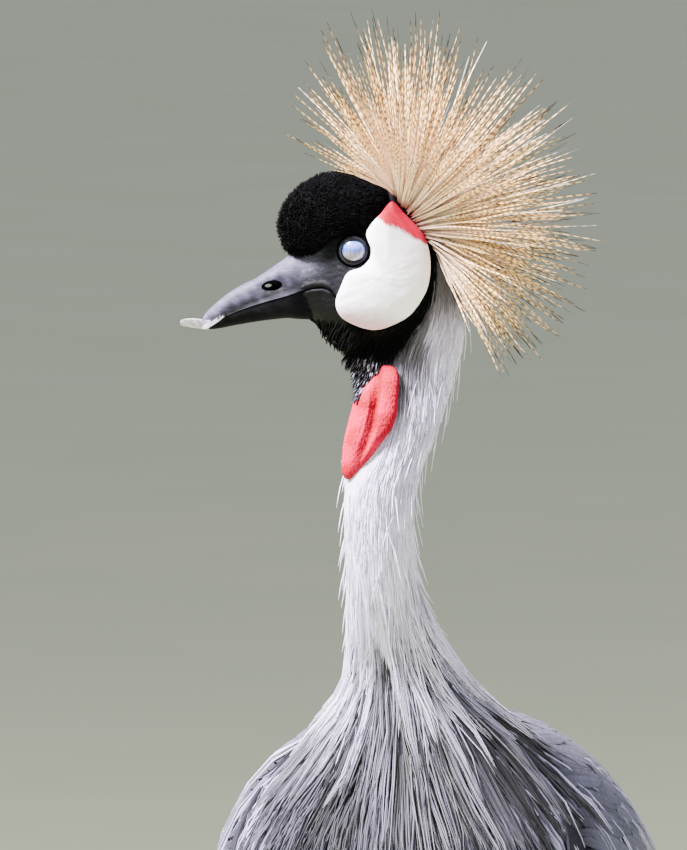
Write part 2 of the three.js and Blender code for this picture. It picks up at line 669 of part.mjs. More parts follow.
// A plume that leaves the neck at a height, follows the mantle line at its bearing and tapers to a point.
function plume(bearing, z, length, lift, half) {
  const line = mantleLine(bearing);
  const open = new THREE.Vector3(Math.cos(bearing), Math.sin(bearing), 1);
  const places = line.getSpacedPoints(Math.ceil(line.getLength() / 2));
  const first = places.findLastIndex((p) => p.z > z) + 1;
  const steps = PLUME.halves.length - 1;
  const stride = Math.max(Math.round(length / steps / 2), 1);
  const points = [];
  const faces = [];
  for (let k = 0; k <= steps; k++) {
    const i = Math.min(first + k * stride, places.length - 2);
    const run = places[i + 1].clone().sub(places[i]).normalize();
    const face = open.clone().addScaledVector(run, -open.dot(run)).normalize();
    faces.push(face);
    points.push(places[i].clone().addScaledVector(face, k === 0 ? -PLUME.sunk : lift + PLUME.rise * k));
  }
  const halves = PLUME.halves.map((share) => half * share);
  return solidOf(blade(points, faces, halves, PLUME.thick));
}

function plumes() {
  const random = dice(11);
  return PLUME_TIERS.flatMap(({ z, count, front, back, lift, half }, tier) =>
    Array.from({ length: count }, (_, i) => {
      const bearing = (2 * Math.PI * (i + 0.5 * (tier % 2) + 0.3 * random())) / count;
      const facing = 0.5 - 0.5 * Math.sin(bearing); // 1 at the throat, 0 at the back of the neck
      const length = lerp(back, front, facing) * lerp(0.85, 1.1, random());
      const height = z + 5 * (random() - 0.5) - PLUME.sink * Math.abs(Math.cos(bearing));
      return plume(bearing, height, length, lift, half * lerp(0.85, 1.1, random()));
    }),
  );
}

// A tapered limb along a curve, with an oval section that reads its half widths from stations.
function limb(points, widths, sides, levels) {
  const curve = new THREE.CatmullRomCurve3(points);
  const rings = Array.from({ length: levels + 1 }, (_, i) => {
    const share = i / levels;
    const place = curve.getPoint(share);
    const wide = readStations(widths, "wide", share);
    const deep = readStations(widths, "deep", share);
    return Array.from({ length: sides }, (_, j) => {
      const angle = (-2 * Math.PI * j) / sides;
      return place.clone().add(new THREE.Vector3(wide * Math.cos(angle), deep * Math.sin(angle), 0));
    });
  });
  return skin(rings);
}

function legPlaces(side) {
  const left = side * LEG.spread;
  const knee = at(LEG.kneeForward, left, LEG.kneeHeight);
  const hock = at(LEG.forward - LEG.hockBack, left, LEG.hockHeight);
  const ankle = at(LEG.forward, left, LEG.ankleHeight);
  return { knee, low: knee.clone().lerp(hock, FEATHERED), hock, ankle };
}

function thighSolid(side) {
  const { knee, low } = legPlaces(side);
  const hip = knee.clone().add(at(-4, -6 * side, 22));
  return solidOf(limb([hip, knee, low], THIGH_WIDTHS, 14, 7));
}

function shankSolid(side) {
  const { low, hock, ankle } = legPlaces(side);
  const { tibia, hock: joint, tarsus, ankle: heel } = SHANK_WIDTHS;
  const heelEnd = ankle.clone().add(at(0, 0, -6));
  const curve = [low, low.clone().lerp(hock, 0.86), hock, hock.clone().lerp(ankle, 0.12), heelEnd];
  const widths = [
    { wide: tibia, deep: tibia }, { wide: tibia, deep: tibia }, { wide: tibia * 0.95, deep: tibia },
    { wide: joint * 0.86, deep: joint }, { wide: joint * 0.8, deep: joint * 0.95 },
    { wide: tarsus, deep: tarsus * 1.25 }, { wide: tarsus, deep: tarsus * 1.2 },
    { wide: tarsus, deep: tarsus * 1.2 }, { wide: heel, deep: heel },
  ];
  return solidOf(limb(curve, widths, 10, 16));
}

// A toe with a flat sole, pads under its joints and a claw at its end.
function toe(start, { turn, length, half }) {
  const heading = at(1, 0, 0).applyAxisAngle(UP, degToRad(turn));
  const across = new THREE.Vector3().crossVectors(UP, heading);
  const levels = 4;
  const rings = [];
  const section = [[1, 0], [0.85, 0.7], [-0.85, 0.7], [-1, 0]];
  for (let i = 0; i <= levels; i++) {
    const share = i / levels;
    const pad = Math.cos(share * 2 * Math.PI * 2); // 1 on a joint's pad, -1 between two
    const wide = half * lerp(1.05, 0.62, share) * (1 + 0.13 * pad);
    const high = half * lerp(2.6, 1.4, Math.sqrt(share)) * (1 + 0.06 * pad);
    const place = start.clone().addScaledVector(heading, length * share);
    const corner = ([x, z]) => place.clone().addScaledVector(across, x * wide).add(at(0, 0, z * high));
    rings.push(section.map(corner));
  }
  const clawRings = [0, 0.5, 1].map((share) => {
    const radius = CLAW.half * lerp(1, 0.22, share);
    const place = start.clone().addScaledVector(heading, length - 4 + (CLAW.length + 4) * share);
    const centre = place.add(at(0, 0, lerp(CLAW.half * 1.6, 0.9, share * share)));
    return Array.from({ length: 5 }, (_, j) => {
      const angle = (2 * Math.PI * j) / 5;
      const high = Math.max(radius * Math.sin(angle), -centre.z);
      return centre.clone().addScaledVector(across, radius * Math.cos(angle)).add(at(0, 0, high));
    });
  });
  return solidOf(skin(rings)).add(solidOf(skin(clawRings)));
}

function footSolid(side) {
  const { ankle } = legPlaces(side);
  const start = ankle.clone().setZ(0);
  const knuckle = new THREE.SphereGeometry(SHANK_WIDTHS.ankle * 1.12, 8, 5);
  const ball = solidOf(knuckle.translate(ankle.x, ankle.y, LEG.ankleHeight * 0.62));
  const toes = TOES.map((sizes) => toe(start, { ...sizes, turn: sizes.turn * side }));
  const ground = new THREE.BoxGeometry(400, 400, 60).translate(start.x, start.y, -30);
  return cut(joined([ball, ...toes]), solidOf(ground), roomFor(shankSolid(side)));
}

// The whole bird: each node is cut clear of what it grows from.
const crane = new THREE.Group();
const headGroup = new THREE.Group();
headGroup.applyMatrix4(headMatrix);
crane.add(headGroup);
const intoHead = headMatrix.clone().invert();

function add(name, paint, solid, group = crane) {
  const geometry = geometryOf(tidied(solid));
  if (group === headGroup) geometry.applyMatrix4(intoHead);
  const mesh = new THREE.Mesh(geometry, new THREE.MeshStandardMaterial({ metalness: 0, ...PAINT[paint] }));
  mesh.name = name;
  group.add(mesh);
}

const bodySolid = body.solid(20, 12);
const bodyRoom = roomFor(bodySolid);
const headSolid = facialSolid(HEAD, 10, 16);
const headRoom = roomFor(headSolid);
const velvetRoom = roomFor(velvetPad.solid(16, 9, headMatrix));
const neckTop = NECK.at(-1).z;
const upperNeck = neckSolid(NECK_SPLIT + GAP, neckTop, 10, 16);
const lowerNeck = neckSolid(NECK[0].z, NECK_SPLIT, 6, 16);
const neckRoom = roomFor(upperNeck).add(roomFor(lowerNeck));
const wings = Object.values(SIDES).map((side) => wingSolid(side));

const shoulderRooms = wings.map((wing) => roomFor(wing, 3 * ROOM));

add("torso", "slate", bodySolid);
const feathered = joined([lowerNeck, ...plumes()]);
add("neck_lower", "grey", cut(feathered, bodyRoom, roomFor(upperNeck), ...shoulderRooms));
add("neck_upper", "paleGrey", cut(upperNeck, headRoom));

const lids = Object.values(SIDES).map((side) => {
  const ring = new THREE.TorusGeometry(EYE.lid, EYE.lidThick, 4, 11).rotateY(Math.PI / 2);
  return solidOf(ring.translate(side * EYE.lidOut, -EYE.forward, EYE.up), headMatrix);
});
const eyes = Object.values(SIDES).map((side) => headBall(EYE.forward, side * EYE.out, EYE.up, EYE.radius));
const slit = headWedge(MOUTH.corner, MOUTH.up, -MOUTH.slope, -MOUTH.slit / 2, MOUTH.slit / 2, 0);
const bareHead = cut(joined([headSolid, ...lids]), ...eyes.map((eye) => roomFor(eye)), slit);
add("head", "skinBlack", bareHead, headGroup);
Object.keys(SIDES).forEach((name, i) => add(`eye_${name}`, "eye", eyes[i], headGroup));

const eyeRooms = Object.values(SIDES).map((side) => headBall(EYE.forward, side * 12.5, EYE.up, 9.4));
const lidRooms = lids.map((lid) => roomFor(lid));
const velvet = cut(velvetPad.solid(16, 9, headMatrix), headRoom, ...eyeRooms, ...lidRooms);
add("velvet_cap", "black", velvet, headGroup);

const redLine = [RED_EDGE.forward, RED_EDGE.up, RED_EDGE.slope];
for (const [name, side] of Object.entries(SIDES)) {
  const patch = cut(cheekSolid(side), headRoom, velvetRoom, neckRoom, ...eyeRooms);
  add(`cheek_${name}`, "white", cut(patch, headWedge(...redLine, -GAP / 2, 60)), headGroup);
  add(`cheek_red_${name}`, "red", cut(patch, headWedge(...redLine, -90, GAP / 2)), headGroup);
}
const cheekRooms = Object.values(SIDES).map((side) => roomFor(cheekSolid(side)));
add("crest", "straw", cut(crestSolid(), headRoom, velvetRoom, neckRoom, ...cheekRooms), headGroup);
add("wattle", "red", cut(wattleSolid(), neckRoom, headRoom, ...cheekRooms), headGroup);

const tilt = degToRad(NOSTRIL.tilt);
const hole = new THREE.Shape().absellipse(0, 0, NOSTRIL.long, NOSTRIL.high, 0, 2 * Math.PI, false, tilt);
const tunnel = new THREE.ExtrudeGeometry(hole, { depth: 40, bevelEnabled: false, curveSegments: 5 });
tunnel.translate(0, 0, -20).rotateY(Math.PI / 2).rotateX(Math.PI / 2);
tunnel.translate(0, -NOSTRIL.forward, NOSTRIL.up);
const nostrils = solidOf(tunnel, headMatrix);
add("bill_upper", "horn", cut(billSolid(UPPER_BILL, 8, 9, true), headRoom, velvetRoom, nostrils), headGroup);
add("bill_lower", "horn", cut(billSolid(LOWER_BILL, 8, 8, false), headRoom), headGroup);

Object.entries(SIDES).forEach(([name, side], i) => {
  const wingRoom = roomFor(wings[i]);
  add(`wing_${name}`, "white", cut(wings[i], bodyRoom));
  const { root, turns, block } = REAR_GROUPS.secondaries;
  const sheath = wingBlock(side, root, turns, ...block);
  add(`wing_gold_${name}`, "gold", cut(rearGroup(side, "gold"), wingRoom, roomFor(sheath)));
  add(`secondaries_${name}`, "chestnut", cut(rearGroup(side, "secondaries"), bodyRoom, wingRoom));
  add(`primaries_${name}`, "black", cut(rearGroup(side, "primaries"), bodyRoom, wingRoom));
  add(`thigh_${name}`, "slate", cut(thighSolid(side), bodyRoom));
  add(`shank_${name}`, "leg", shankSolid(side));
  add(`foot_${name}`, "leg", footSolid(side));
});
add("tail", "black", cut(tailSolid(), bodyRoom));

// The origin is the middle of the footprint of the whole bird.
const bounds = new THREE.Box3().setFromObject(crane, true);
const middle = bounds.getCenter(new THREE.Vector3());
crane.position.set(-middle.x, -middle.y, -bounds.min.z);
const part = new THREE.Group();
part.add(crane);

export default part;
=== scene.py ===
"""A grey crowned crane, life size and still, standing on both feet with its head turned to its right.

Sizes are in millimetres in the bird's own frame: x to its left, y backwards and z up from the floor under
its ankles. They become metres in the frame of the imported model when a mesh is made.
"""

import logging
import math
from collections.abc import Callable
from dataclasses import dataclass, field, fields, replace
from enum import Enum

import bpy
import numpy as np
from bpy.types import Material, Mesh, Node, NodeSocket, NodeTree, Object
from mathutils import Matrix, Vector
from mathutils.bvhtree import BVHTree


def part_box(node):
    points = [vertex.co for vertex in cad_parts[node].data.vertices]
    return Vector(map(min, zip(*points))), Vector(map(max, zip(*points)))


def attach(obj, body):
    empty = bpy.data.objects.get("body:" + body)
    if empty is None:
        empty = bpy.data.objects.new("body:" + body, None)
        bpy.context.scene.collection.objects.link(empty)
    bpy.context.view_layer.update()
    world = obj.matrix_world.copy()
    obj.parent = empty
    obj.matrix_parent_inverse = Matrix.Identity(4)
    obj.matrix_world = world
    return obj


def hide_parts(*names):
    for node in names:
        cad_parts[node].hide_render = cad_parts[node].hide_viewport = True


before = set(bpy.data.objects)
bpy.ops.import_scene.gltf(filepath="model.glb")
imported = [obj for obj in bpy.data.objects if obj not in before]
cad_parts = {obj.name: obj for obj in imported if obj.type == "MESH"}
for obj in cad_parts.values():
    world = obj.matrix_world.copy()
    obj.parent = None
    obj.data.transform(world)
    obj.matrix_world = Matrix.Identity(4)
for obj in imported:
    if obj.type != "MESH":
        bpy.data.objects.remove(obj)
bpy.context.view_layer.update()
LOG = logging.getLogger("crane")
ACROSS = np.array([1.0, 0, 0])  # straight to the bird's left
Array = np.ndarray

MM = 0.001
TOE_TIP = -101.0  # y of the foremost claw tip, which places the bird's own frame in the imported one
BAKE_PATCH = 0.003  # side of one tuft's patch on the coat's bake map
HEAD_TURN = math.radians(-78.0)  # turn of the head about the upright axis, to the bird's right
HEAD_AT = np.array([-6.2, -128.5, 865.6])

_left, _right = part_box("foot_left"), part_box("foot_right")
ORIGIN = np.array([(_left[1].x + _right[0].x) / 2, _left[0].y - TOE_TIP * MM, 0.0])


class Side(Enum):
    """A side of the bird: its sign along x."""

    LEFT = 1
    RIGHT = -1

    @property
    def word(self) -> str:
        """The side's name in lower case, as node names end."""
        return self.name.lower()


def linear(hex_colour: str) -> tuple[float, float, float, float]:
    """Turns an sRGB colour such as #a0b1c2 into linear red, green, blue and alpha 1."""
    values = [int(hex_colour[i : i + 2], 16) / 255 for i in (1, 3, 5)]
    bent = [v / 12.92 if v <= 0.04045 else ((v + 0.055) / 1.055) ** 2.4 for v in values]
    return (bent[0], bent[1], bent[2], 1.0)


def shade(hex_colour: str) -> Array:
    """The linear red, green and blue of an sRGB colour, as an array."""
    return np.array(linear(hex_colour)[:3])


def smooth(x: Array, low: float, high: float) -> Array:
    """A soft step from 0 at low to 1 at high."""
    t = np.clip((x - low) / (high - low), 0, 1)
    return t * t * (3 - 2 * t)


def hill(x: Array, middle: float, width: float) -> Array:
    """A soft hill: 1 at its middle, and nearly gone at twice its width."""
    return np.exp(-(((x - middle) / width) ** 2))


def blend(under: Array, over: Array, share: Array) -> Array:
    """Values with others laid over them by a share from 0 to 1."""
    return under * (1 - share) + over * share


def read(pairs: tuple[tuple[float, float], ...], x: Array) -> Array:
    """Reads a table of places and values, straight from one pair to the next."""
    return np.interp(x, *np.array(pairs).T)


def turns(count: int) -> Array:
    """Angles in even steps once round."""
    return np.linspace(0, 2 * np.pi, count, endpoint=False)


def unit(v: Array) -> Array:
    """Vectors along the last axis, made one long."""
    return v / np.maximum(np.linalg.norm(v, axis=-1, keepdims=True), 1e-9)


def to_row(points: Array) -> Array:
    """Points of the bird's own frame in millimetres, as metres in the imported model's frame."""
    return points * MM + ORIGIN


def from_head(points: Array) -> Array:
    """Points of the head's own frame, x out to its left, y backwards, z up, in the bird's frame."""
    c, s = math.cos(HEAD_TURN), math.sin(HEAD_TURN)
    turned = points @ np.array([[c, s, 0], [-s, c, 0], [0, 0, 1]])
    return turned + HEAD_AT


def into_head(points: Array) -> Array:
    """Points of the bird's frame in the head's own frame."""
    c, s = math.cos(HEAD_TURN), math.sin(HEAD_TURN)
    return (points - HEAD_AT) @ np.array([[c, -s, 0], [s, c, 0], [0, 0, 1]])


def head_to_row(local: Array) -> Array:
    """Points of the head's own frame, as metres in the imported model's frame."""
    return to_row(from_head(local))


def split_head(local: Array) -> tuple[Array, Array, Array]:
    """Splits points of the head's own frame into how far they lie out to its left, forward and up."""
    return local[:, 0], -local[:, 1], local[:, 2]


def turn_head(directions: Array) -> Array:
    """Directions of the head's own frame in the bird's frame."""
    return from_head(directions) - HEAD_AT


def curve(stations: Array, shares: Array) -> Array:
    """Reads rows of stations by a smooth curve.

    Args:
        stations: One row of values for each station.
        shares: Places from 0 at the first station to 1 at the last.

    Returns:
        One row of values for each share.
    """
    rows = np.asarray(stations, float)
    last = len(rows) - 1
    place = np.clip(np.asarray(shares, float), 0, 1) * last
    i = np.minimum(place.astype(int), last - 1)
    t = (place - i)[:, None]
    p0, p1, p2, p3 = (rows[np.clip(i + k, 0, last)] for k in (-1, 0, 1, 2))
    bend = 2 * p0 - 5 * p1 + 4 * p2 - p3
    return 0.5 * (2 * p1 + (p2 - p0) * t + bend * t * t + (3 * p1 - p0 - 3 * p2 + p3) * t**3)


# Blender objects: the small steps that every piece shares.


def deselect() -> None:
    """Leaves object mode and selects nothing."""
    if bpy.context.object and bpy.context.object.mode != "OBJECT":
        bpy.ops.object.mode_set(mode="OBJECT")
    bpy.ops.object.select_all(action="DESELECT")


def activate(*objects: Object) -> None:
    """Selects these objects alone and makes the first one active."""
    deselect()
    for obj in objects:
        obj.select_set(True)
    bpy.context.view_layer.objects.active = objects[0]


def edit(obj: Object) -> None:
    """Opens an object in edit mode with all of it selected."""
    activate(obj)
    bpy.ops.object.mode_set(mode="EDIT")
    bpy.ops.mesh.select_mode(type="VERT")
    bpy.ops.mesh.select_all(action="SELECT")


def close_edit() -> None:
    """Goes back to object mode."""
    bpy.ops.object.mode_set(mode="OBJECT")


def face_outwards(obj: Object) -> None:
    """Turns all faces of a closed mesh outwards."""
    edit(obj)
    bpy.ops.mesh.normals_make_consistent(inside=False)
    close_edit()


def select_where(obj: Object, chosen: Array) -> None:
    """Opens an object in edit mode with only the chosen vertices selected.

    Args:
        obj: The object to edit.
        chosen: One truth value for each vertex.
    """
    edit(obj)
    bpy.ops.mesh.select_all(action="DESELECT")
    close_edit()
    obj.data.vertices.foreach_set("select", chosen)
    bpy.ops.object.mode_set(mode="EDIT")


def gathered(items: bpy.types.bpy_prop_collection, key: str, kind: type = np.int32) -> Array:
    """Three numbers of each item of one of Blender's lists, as rows of an array."""
    flat = np.empty(len(items) * 3, dtype=kind)
    items.foreach_get(key, flat)
    return flat.reshape(-1, 3)


def places(obj: Object) -> Array:
    """The vertices of an object as rows of an array."""
    return gathered(obj.data.vertices, "co", float)


def in_bird(obj: Object) -> Array:
    """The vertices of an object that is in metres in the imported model's frame, in the bird's own frame."""
    return (places(obj) - ORIGIN) / MM


def move_to(obj: Object, points: Array) -> None:
    """Sets the vertices of an object from the rows of an array."""
    obj.data.vertices.foreach_set("co", np.ascontiguousarray(points, dtype=np.float32).ravel())
    obj.data.update()


def apply_modifier(obj: Object, kind: str, **settings: object) -> None:
    """Adds a modifier with its settings and applies it.

    Args:
        obj: The object that it changes.
        kind: Blender's name of the modifier.
        **settings: Values for the modifier's own settings.
    """
    activate(obj)
    bpy.ops.object.modifier_add(type=kind)
    modifier = obj.modifiers[-1]
    for key, value in settings.items():
        setattr(modifier, key, value)
    bpy.ops.object.modifier_apply(modifier=modifier.name)


def lofted(name: str, rings: Array) -> Object:
    """Rolls a grid into a closed tube through rings of points, in the units that the rings have.

    Args:
        name: The object's name.
        rings: Points as (ring, place in the ring, 3).

    Returns:
        The new object.
    """
    count, around = rings.shape[:2]
    deselect()
    bpy.ops.mesh.primitive_grid_add(x_subdivisions=around, y_subdivisions=count - 1, size=2)
    obj = bpy.context.object
    obj.name = name
    move_to(obj, np.concatenate([rings, rings[:, :1]], axis=1).reshape(-1, 3))
    edit(obj)
    bpy.ops.mesh.remove_doubles(threshold=1e-5)
    bpy.ops.mesh.fill_holes(sides=0)
    bpy.ops.mesh.normals_make_consistent(inside=False)
    close_edit()
    return obj


def add_node(
    tree: NodeTree,
    kind: str,
    settings: dict[str | int, object] | None = None,
    links: dict[str | int, NodeSocket] | None = None,
) -> Node:
    """Adds a node to a material.

    Args:
        tree: The material's node tree.
        kind: The node's type, without the words that all of them start with.
        settings: Values for its properties and unlinked inputs; "stops" holds a ramp's (place, colour) pairs.
        links: What feeds its inputs, each named by input name or number.

    Returns:
        The new node.
    """
    made = tree.nodes.new(f"ShaderNode{kind}")
    for key, value in (settings or {}).items():
        if key == "stops":
            while len(made.color_ramp.elements) < len(value):
                made.color_ramp.elements.new(1.0)
            for element, (position, colour) in zip(made.color_ramp.elements, value):
                element.position = position
                element.color = linear(colour)
        elif isinstance(key, int) or key in made.inputs:
            made.inputs[key].default_value = value
        else:
            setattr(made, key, value)
    for key, source in (links or {}).items():
        tree.links.new(source, made.inputs[key])
    return made


def finish_piece(
    obj: Object, material: Material, nodes: tuple[str, ...] = (), smooth_by: float = 40
) -> None:
    """Dresses a piece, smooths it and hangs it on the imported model's only body.

    Args:
        obj: The piece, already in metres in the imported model's frame.
        material: Its material.
        nodes: The solids that it stands for.
        smooth_by: Edges sharper than this many degrees stay sharp.
    """
    obj.data.materials.clear()
    obj.data.materials.append(material)
    activate(obj)
    bpy.ops.object.shade_smooth_by_angle(angle=math.radians(smooth_by), keep_sharp_edges=False)
    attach(obj, "root")
    if nodes:
        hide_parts(*nodes)
    LOG.info("%s: %d faces", obj.name, len(obj.data.polygons))


# Shapes that other pieces are set on.


@dataclass(frozen=True)
class Egg:
    """A rounded form with its own reach forwards, backwards, up, down and sideways, pitched up in front."""

    forward: float
    height: float
    pitch: float
    front: float
    rear: float
    up: float
    down: float
    side: float

    @property
    def centre(self) -> Array:
        """Its middle."""
        return np.array([0, -self.forward, self.height])

    @property
    def axis(self) -> Array:
        """The way that its long axis points, forwards."""
        tilt = math.radians(self.pitch)
        return np.array([0, -math.cos(tilt), math.sin(tilt)])

    @property
    def top(self) -> Array:
        """The way that its back looks."""
        tilt = math.radians(self.pitch)
        return np.array([0, math.sin(tilt), math.cos(tilt)])

    def world(self, along: Array, left: Array, up: Array) -> Array:
        """The point at places along its axis, to the left and up from its middle."""
        parts = [np.asarray(v, float)[..., None] for v in (along, left, up)]
        return self.centre + parts[0] * self.axis + parts[1] * ACROSS + parts[2] * self.top

    def scaled(self, points: Array) -> Array:
        """Points as shares of its reach: along, left and up, one long on its surface.

        Args:
            points: Places of the bird's frame.

        Returns:
            Three numbers for each place.
        """
        rel = points - self.centre
        along, left, up = rel @ self.axis, rel[..., 0], rel @ self.top
        return np.stack(
            [
                along / np.where(along > 0, self.front, self.rear),
                left / self.side,
                up / np.where(up > 0, self.up, self.down),
            ],
            axis=-1,
        )

    def mesh(self, name: str, segments: int = 64, rings: int = 40) -> Object:
        """Models it from a ball whose halves are stretched one by one, in millimetres.

        Args:
            name: The object's name.
            segments: Faces round the ball.
            rings: Faces from pole to pole.

        Returns:
            The new object.
        """
        deselect()
        bpy.ops.mesh.primitive_uv_sphere_add(segments=segments, ring_count=rings, radius=1)
        obj = bpy.context.object
        obj.name = name
        sizes = ((1, -1, self.front), (1, 1, self.rear), (2, 1, self.up), (2, -1, self.down))
        for axis, sign, reach in sizes:
            select_where(obj, places(obj)[:, axis] * sign > 1e-6)
            value = [reach if i == axis else 1.0 for i in range(3)]
            bpy.ops.transform.resize(value=value, center_override=(0, 0, 0))
            close_edit()
        edit(obj)
        bpy.ops.transform.resize(value=(self.side, 1, 1), center_override=(0, 0, 0))
        close_edit()
        activate(obj)
        obj.rotation_euler = (-math.radians(self.pitch), 0, 0)
        obj.location = Vector(self.centre)
        bpy.ops.object.transform_apply(location=True, rotation=True, scale=True)
        return obj


BODY = Egg(forward=70, height=545, pitch=20, front=118, rear=262, up=97, down=106, side=100)

# Neck: height, forward, left, half width across the view, half depth.
NECK = np.array([
    [608, 88, 3, 70, 74], [628, 98, 3, 56, 60], [650, 110, 1.5, 35, 41], [668, 121, -0.5, 25.5, 30],
    [687, 134, -3, 21.5, 23], [706, 143, -4.4, 19, 20], [746, 147, -5.5, 18.2, 18.4], [765, 143, -4, 20, 18],
    [785, 136, 1.3, 21.5, 17.6], [804, 128, 2.7, 24.4, 17.6], [824, 124, 3.5, 28.5, 17],
    [845, 122, 12, 21, 14.5], [862, 121, 13, 13, 12], [873, 121, 10, 7, 8],
])
NECK_TURN = math.radians(12)  # the upper neck is wide along the head's own length
HEAD_FOOT = (815, 822)  # heights between which the neck becomes the head
NECK_FOOT = 655
THIGH_TOP = 470

# Bare head: forward, top, bottom, half width, in the head's own frame.
HEAD = np.array([
    [-25.5, 8, -10, 5], [-23, 15, -20, 11], [-17, 21.5, -29, 15.5], [-7, 27, -37, 18], [5, 29, -41, 18.5],
    [16, 27, -40.5, 17.5], [26, 21, -35.5, 15], [36, 12.5, -29, 11.8], [44, 6, -25.6, 9.2],
])


@dataclass(frozen=True)
class Eye:
    """The eye and its lids, in the head's own frame."""

    forward: float = 15.7
    up: float = 6.4
    out: float = 11.4
    radius: float = 7.7
    open_long: float = 5.95
    open_high: float = 5.5


@dataclass(frozen=True)
class FoldedWing:
    """The surface of the folded wing: it follows the body, and behind it narrows and droops."""

    front: float = 60
    rear: float = -196
    top: float = 12
    bottom: float = 112
    thick: float = 9
    droop_from: float = -130
    taper: float = 0.0021
    fall: float = 0.0013

    def thickness(self, along: Array, turn: Array) -> Array:
        """How thick the wing is over the body at places along it and round it."""
        lengthwise = (self.front - along) / (self.front - self.rear)
        crosswise = np.clip((turn - self.top) / (self.bottom - self.top), 0, 1)
        inside = (lengthwise > 0) & (lengthwise < 1.6)
        return inside * self.thick * smooth(lengthwise, 0, 0.3) * np.sqrt(np.sin(np.pi * crosswise))

    def place(
        self, side: Side, along: Array, turn: Array, lift: Array
    ) -> tuple[Array, Array]:
        """Finds points over the wing's surface.

        Args:
            side: The wing's side.
            along: Places along the body's axis.
            turn: Degrees round the body, 0 on the back and 90 at the side.
            lift: Heights over the surface.

        Returns:
            The points, and the way that the surface looks there.
        """
        behind = np.maximum(self.droop_from - along, 0)
        reach = np.where(along > 0, BODY.front, BODY.rear)
        held = np.maximum(along, self.droop_from)
        scale = np.sqrt(1 - (held / reach) ** 2) - self.taper * behind
        angle = np.radians(turn)
        high = np.where(np.cos(angle) > 0, BODY.up, BODY.down)
        left = side.value * BODY.side * np.sin(angle)
        base = BODY.world(along, scale * left, scale * high * np.cos(angle))
        outward = BODY.world(np.full_like(along, 0.25), left / BODY.side, np.cos(angle)) - BODY.centre
        face = unit(outward)
        base[..., 2] -= self.fall * behind * behind
        return base + face * (lift + self.thickness(along, turn))[..., None], face


WING = FoldedWing()
EYE = Eye()


def neck_at(z: Array) -> Array:
    """The neck at heights: middle x, middle y, half width and half depth, one row for each height."""
    heights = NECK[:, 0]
    shares = np.interp(z, heights, np.arange(len(heights))) / (len(heights) - 1)
    _, forward, left, wide, deep = curve(NECK, shares).T
    return np.stack([left, -forward, wide, deep], axis=1)


def neck_rings(inset: float, levels: int = 60, sides: int = 40) -> Array:
    """The neck as rings of points, drawn in by an inset."""
    z = np.linspace(NECK[0, 0], NECK[-1, 0], levels)
    x, y, wide, deep = neck_at(z).T
    angle = turns(sides)
    across = np.outer(np.maximum(wide - inset, 2), np.cos(angle))
    depth = np.outer(np.maximum(deep - inset, 2), np.sin(angle))
    c, s = math.cos(NECK_TURN), math.sin(NECK_TURN)
    x, y, z = x[:, None], y[:, None], np.repeat(z[:, None], sides, 1)
    return np.stack([x + across * c - depth * s, y + across * s + depth * c, z], axis=2)


def oval_rings(stations: Array, levels: int, sides: int) -> Array:
    """Rings of the bare head, in its own frame: ovals from the back of the skull to the root of the bill."""
    forward, top, bottom, wide = curve(stations, np.linspace(0, 1, levels)).T
    angle = turns(sides)
    out = np.outer(wide, np.cos(angle))
    up = ((top + bottom) / 2)[:, None] + np.outer((top - bottom) / 2, np.sin(angle))
    return np.stack([out, np.repeat(-forward[:, None], sides, 1), up], axis=2)


@dataclass(frozen=True)
class Leg:
    """Where the joints of a leg are, and how thick its stretches are."""

    spread: float = 44
    forward: float = 6
    knee_forward: float = 34
    knee_height: float = 452
    hock_back: float = 12
    hock_height: float = 216
    ankle_height: float = 20
    feathered: float = 0.52

    def joints(self, side: Side) -> dict[str, Array]:
        """The leg's joints on one side, and the end of its feathers.

        Args:
            side: The leg's side.

        Returns:
            Each joint's place by its name.
        """
        left = side.value * self.spread
        knee = np.array([left, -self.knee_forward, self.knee_height])
        hock = np.array([left, self.hock_back - self.forward, self.hock_height])
        ankle = np.array([left, -self.forward, self.ankle_height])
        return {
            "hip": knee + np.array([-6 * side.value, 4, 22]),
            "knee": knee,
            "low": knee + (hock - knee) * self.feathered,
            "hock": hock,
            "ankle": ankle,
        }


LEG = Leg()


def limb_rings(points: Array, widths: Array, levels: int, sides: int) -> Array:
    """Level rings along a limb.

    Args:
        points: The limb's middle line.
        widths: Half width and half depth, one row for each station.
        levels: How many rings.
        sides: How many points in a ring.

    Returns:
        Points as (ring, place in the ring, 3).
    """
    shares = np.linspace(0, 1, levels)
    middle = curve(points, shares)
    wide, deep = curve(widths, shares).T
    angle = turns(sides)
    across, along = np.outer(wide, np.cos(angle)), np.outer(deep, np.sin(angle))
    return middle[:, None, :] + np.stack([across, along, 0 * across], axis=2)


# The coat: templates modelled once, roots spread over a surface, paths that follow it, and joined meshes.


@dataclass(frozen=True)
class Template:
    """A feather or bristle in unit sizes: across from -1 to 1, height, and share of the way to its tip."""

    points: Array
    faces: list[tuple[int, ...]]
    camber: float = 0.0


def read_template(obj: Object, camber: float = 0.0) -> Template:
    """Takes a modelled feather as a template and removes its object."""
    faces = [tuple(polygon.vertices) for polygon in obj.data.polygons]
    template = Template(places(obj), faces, camber)
    bpy.data.objects.remove(obj, do_unlink=True)
    return template


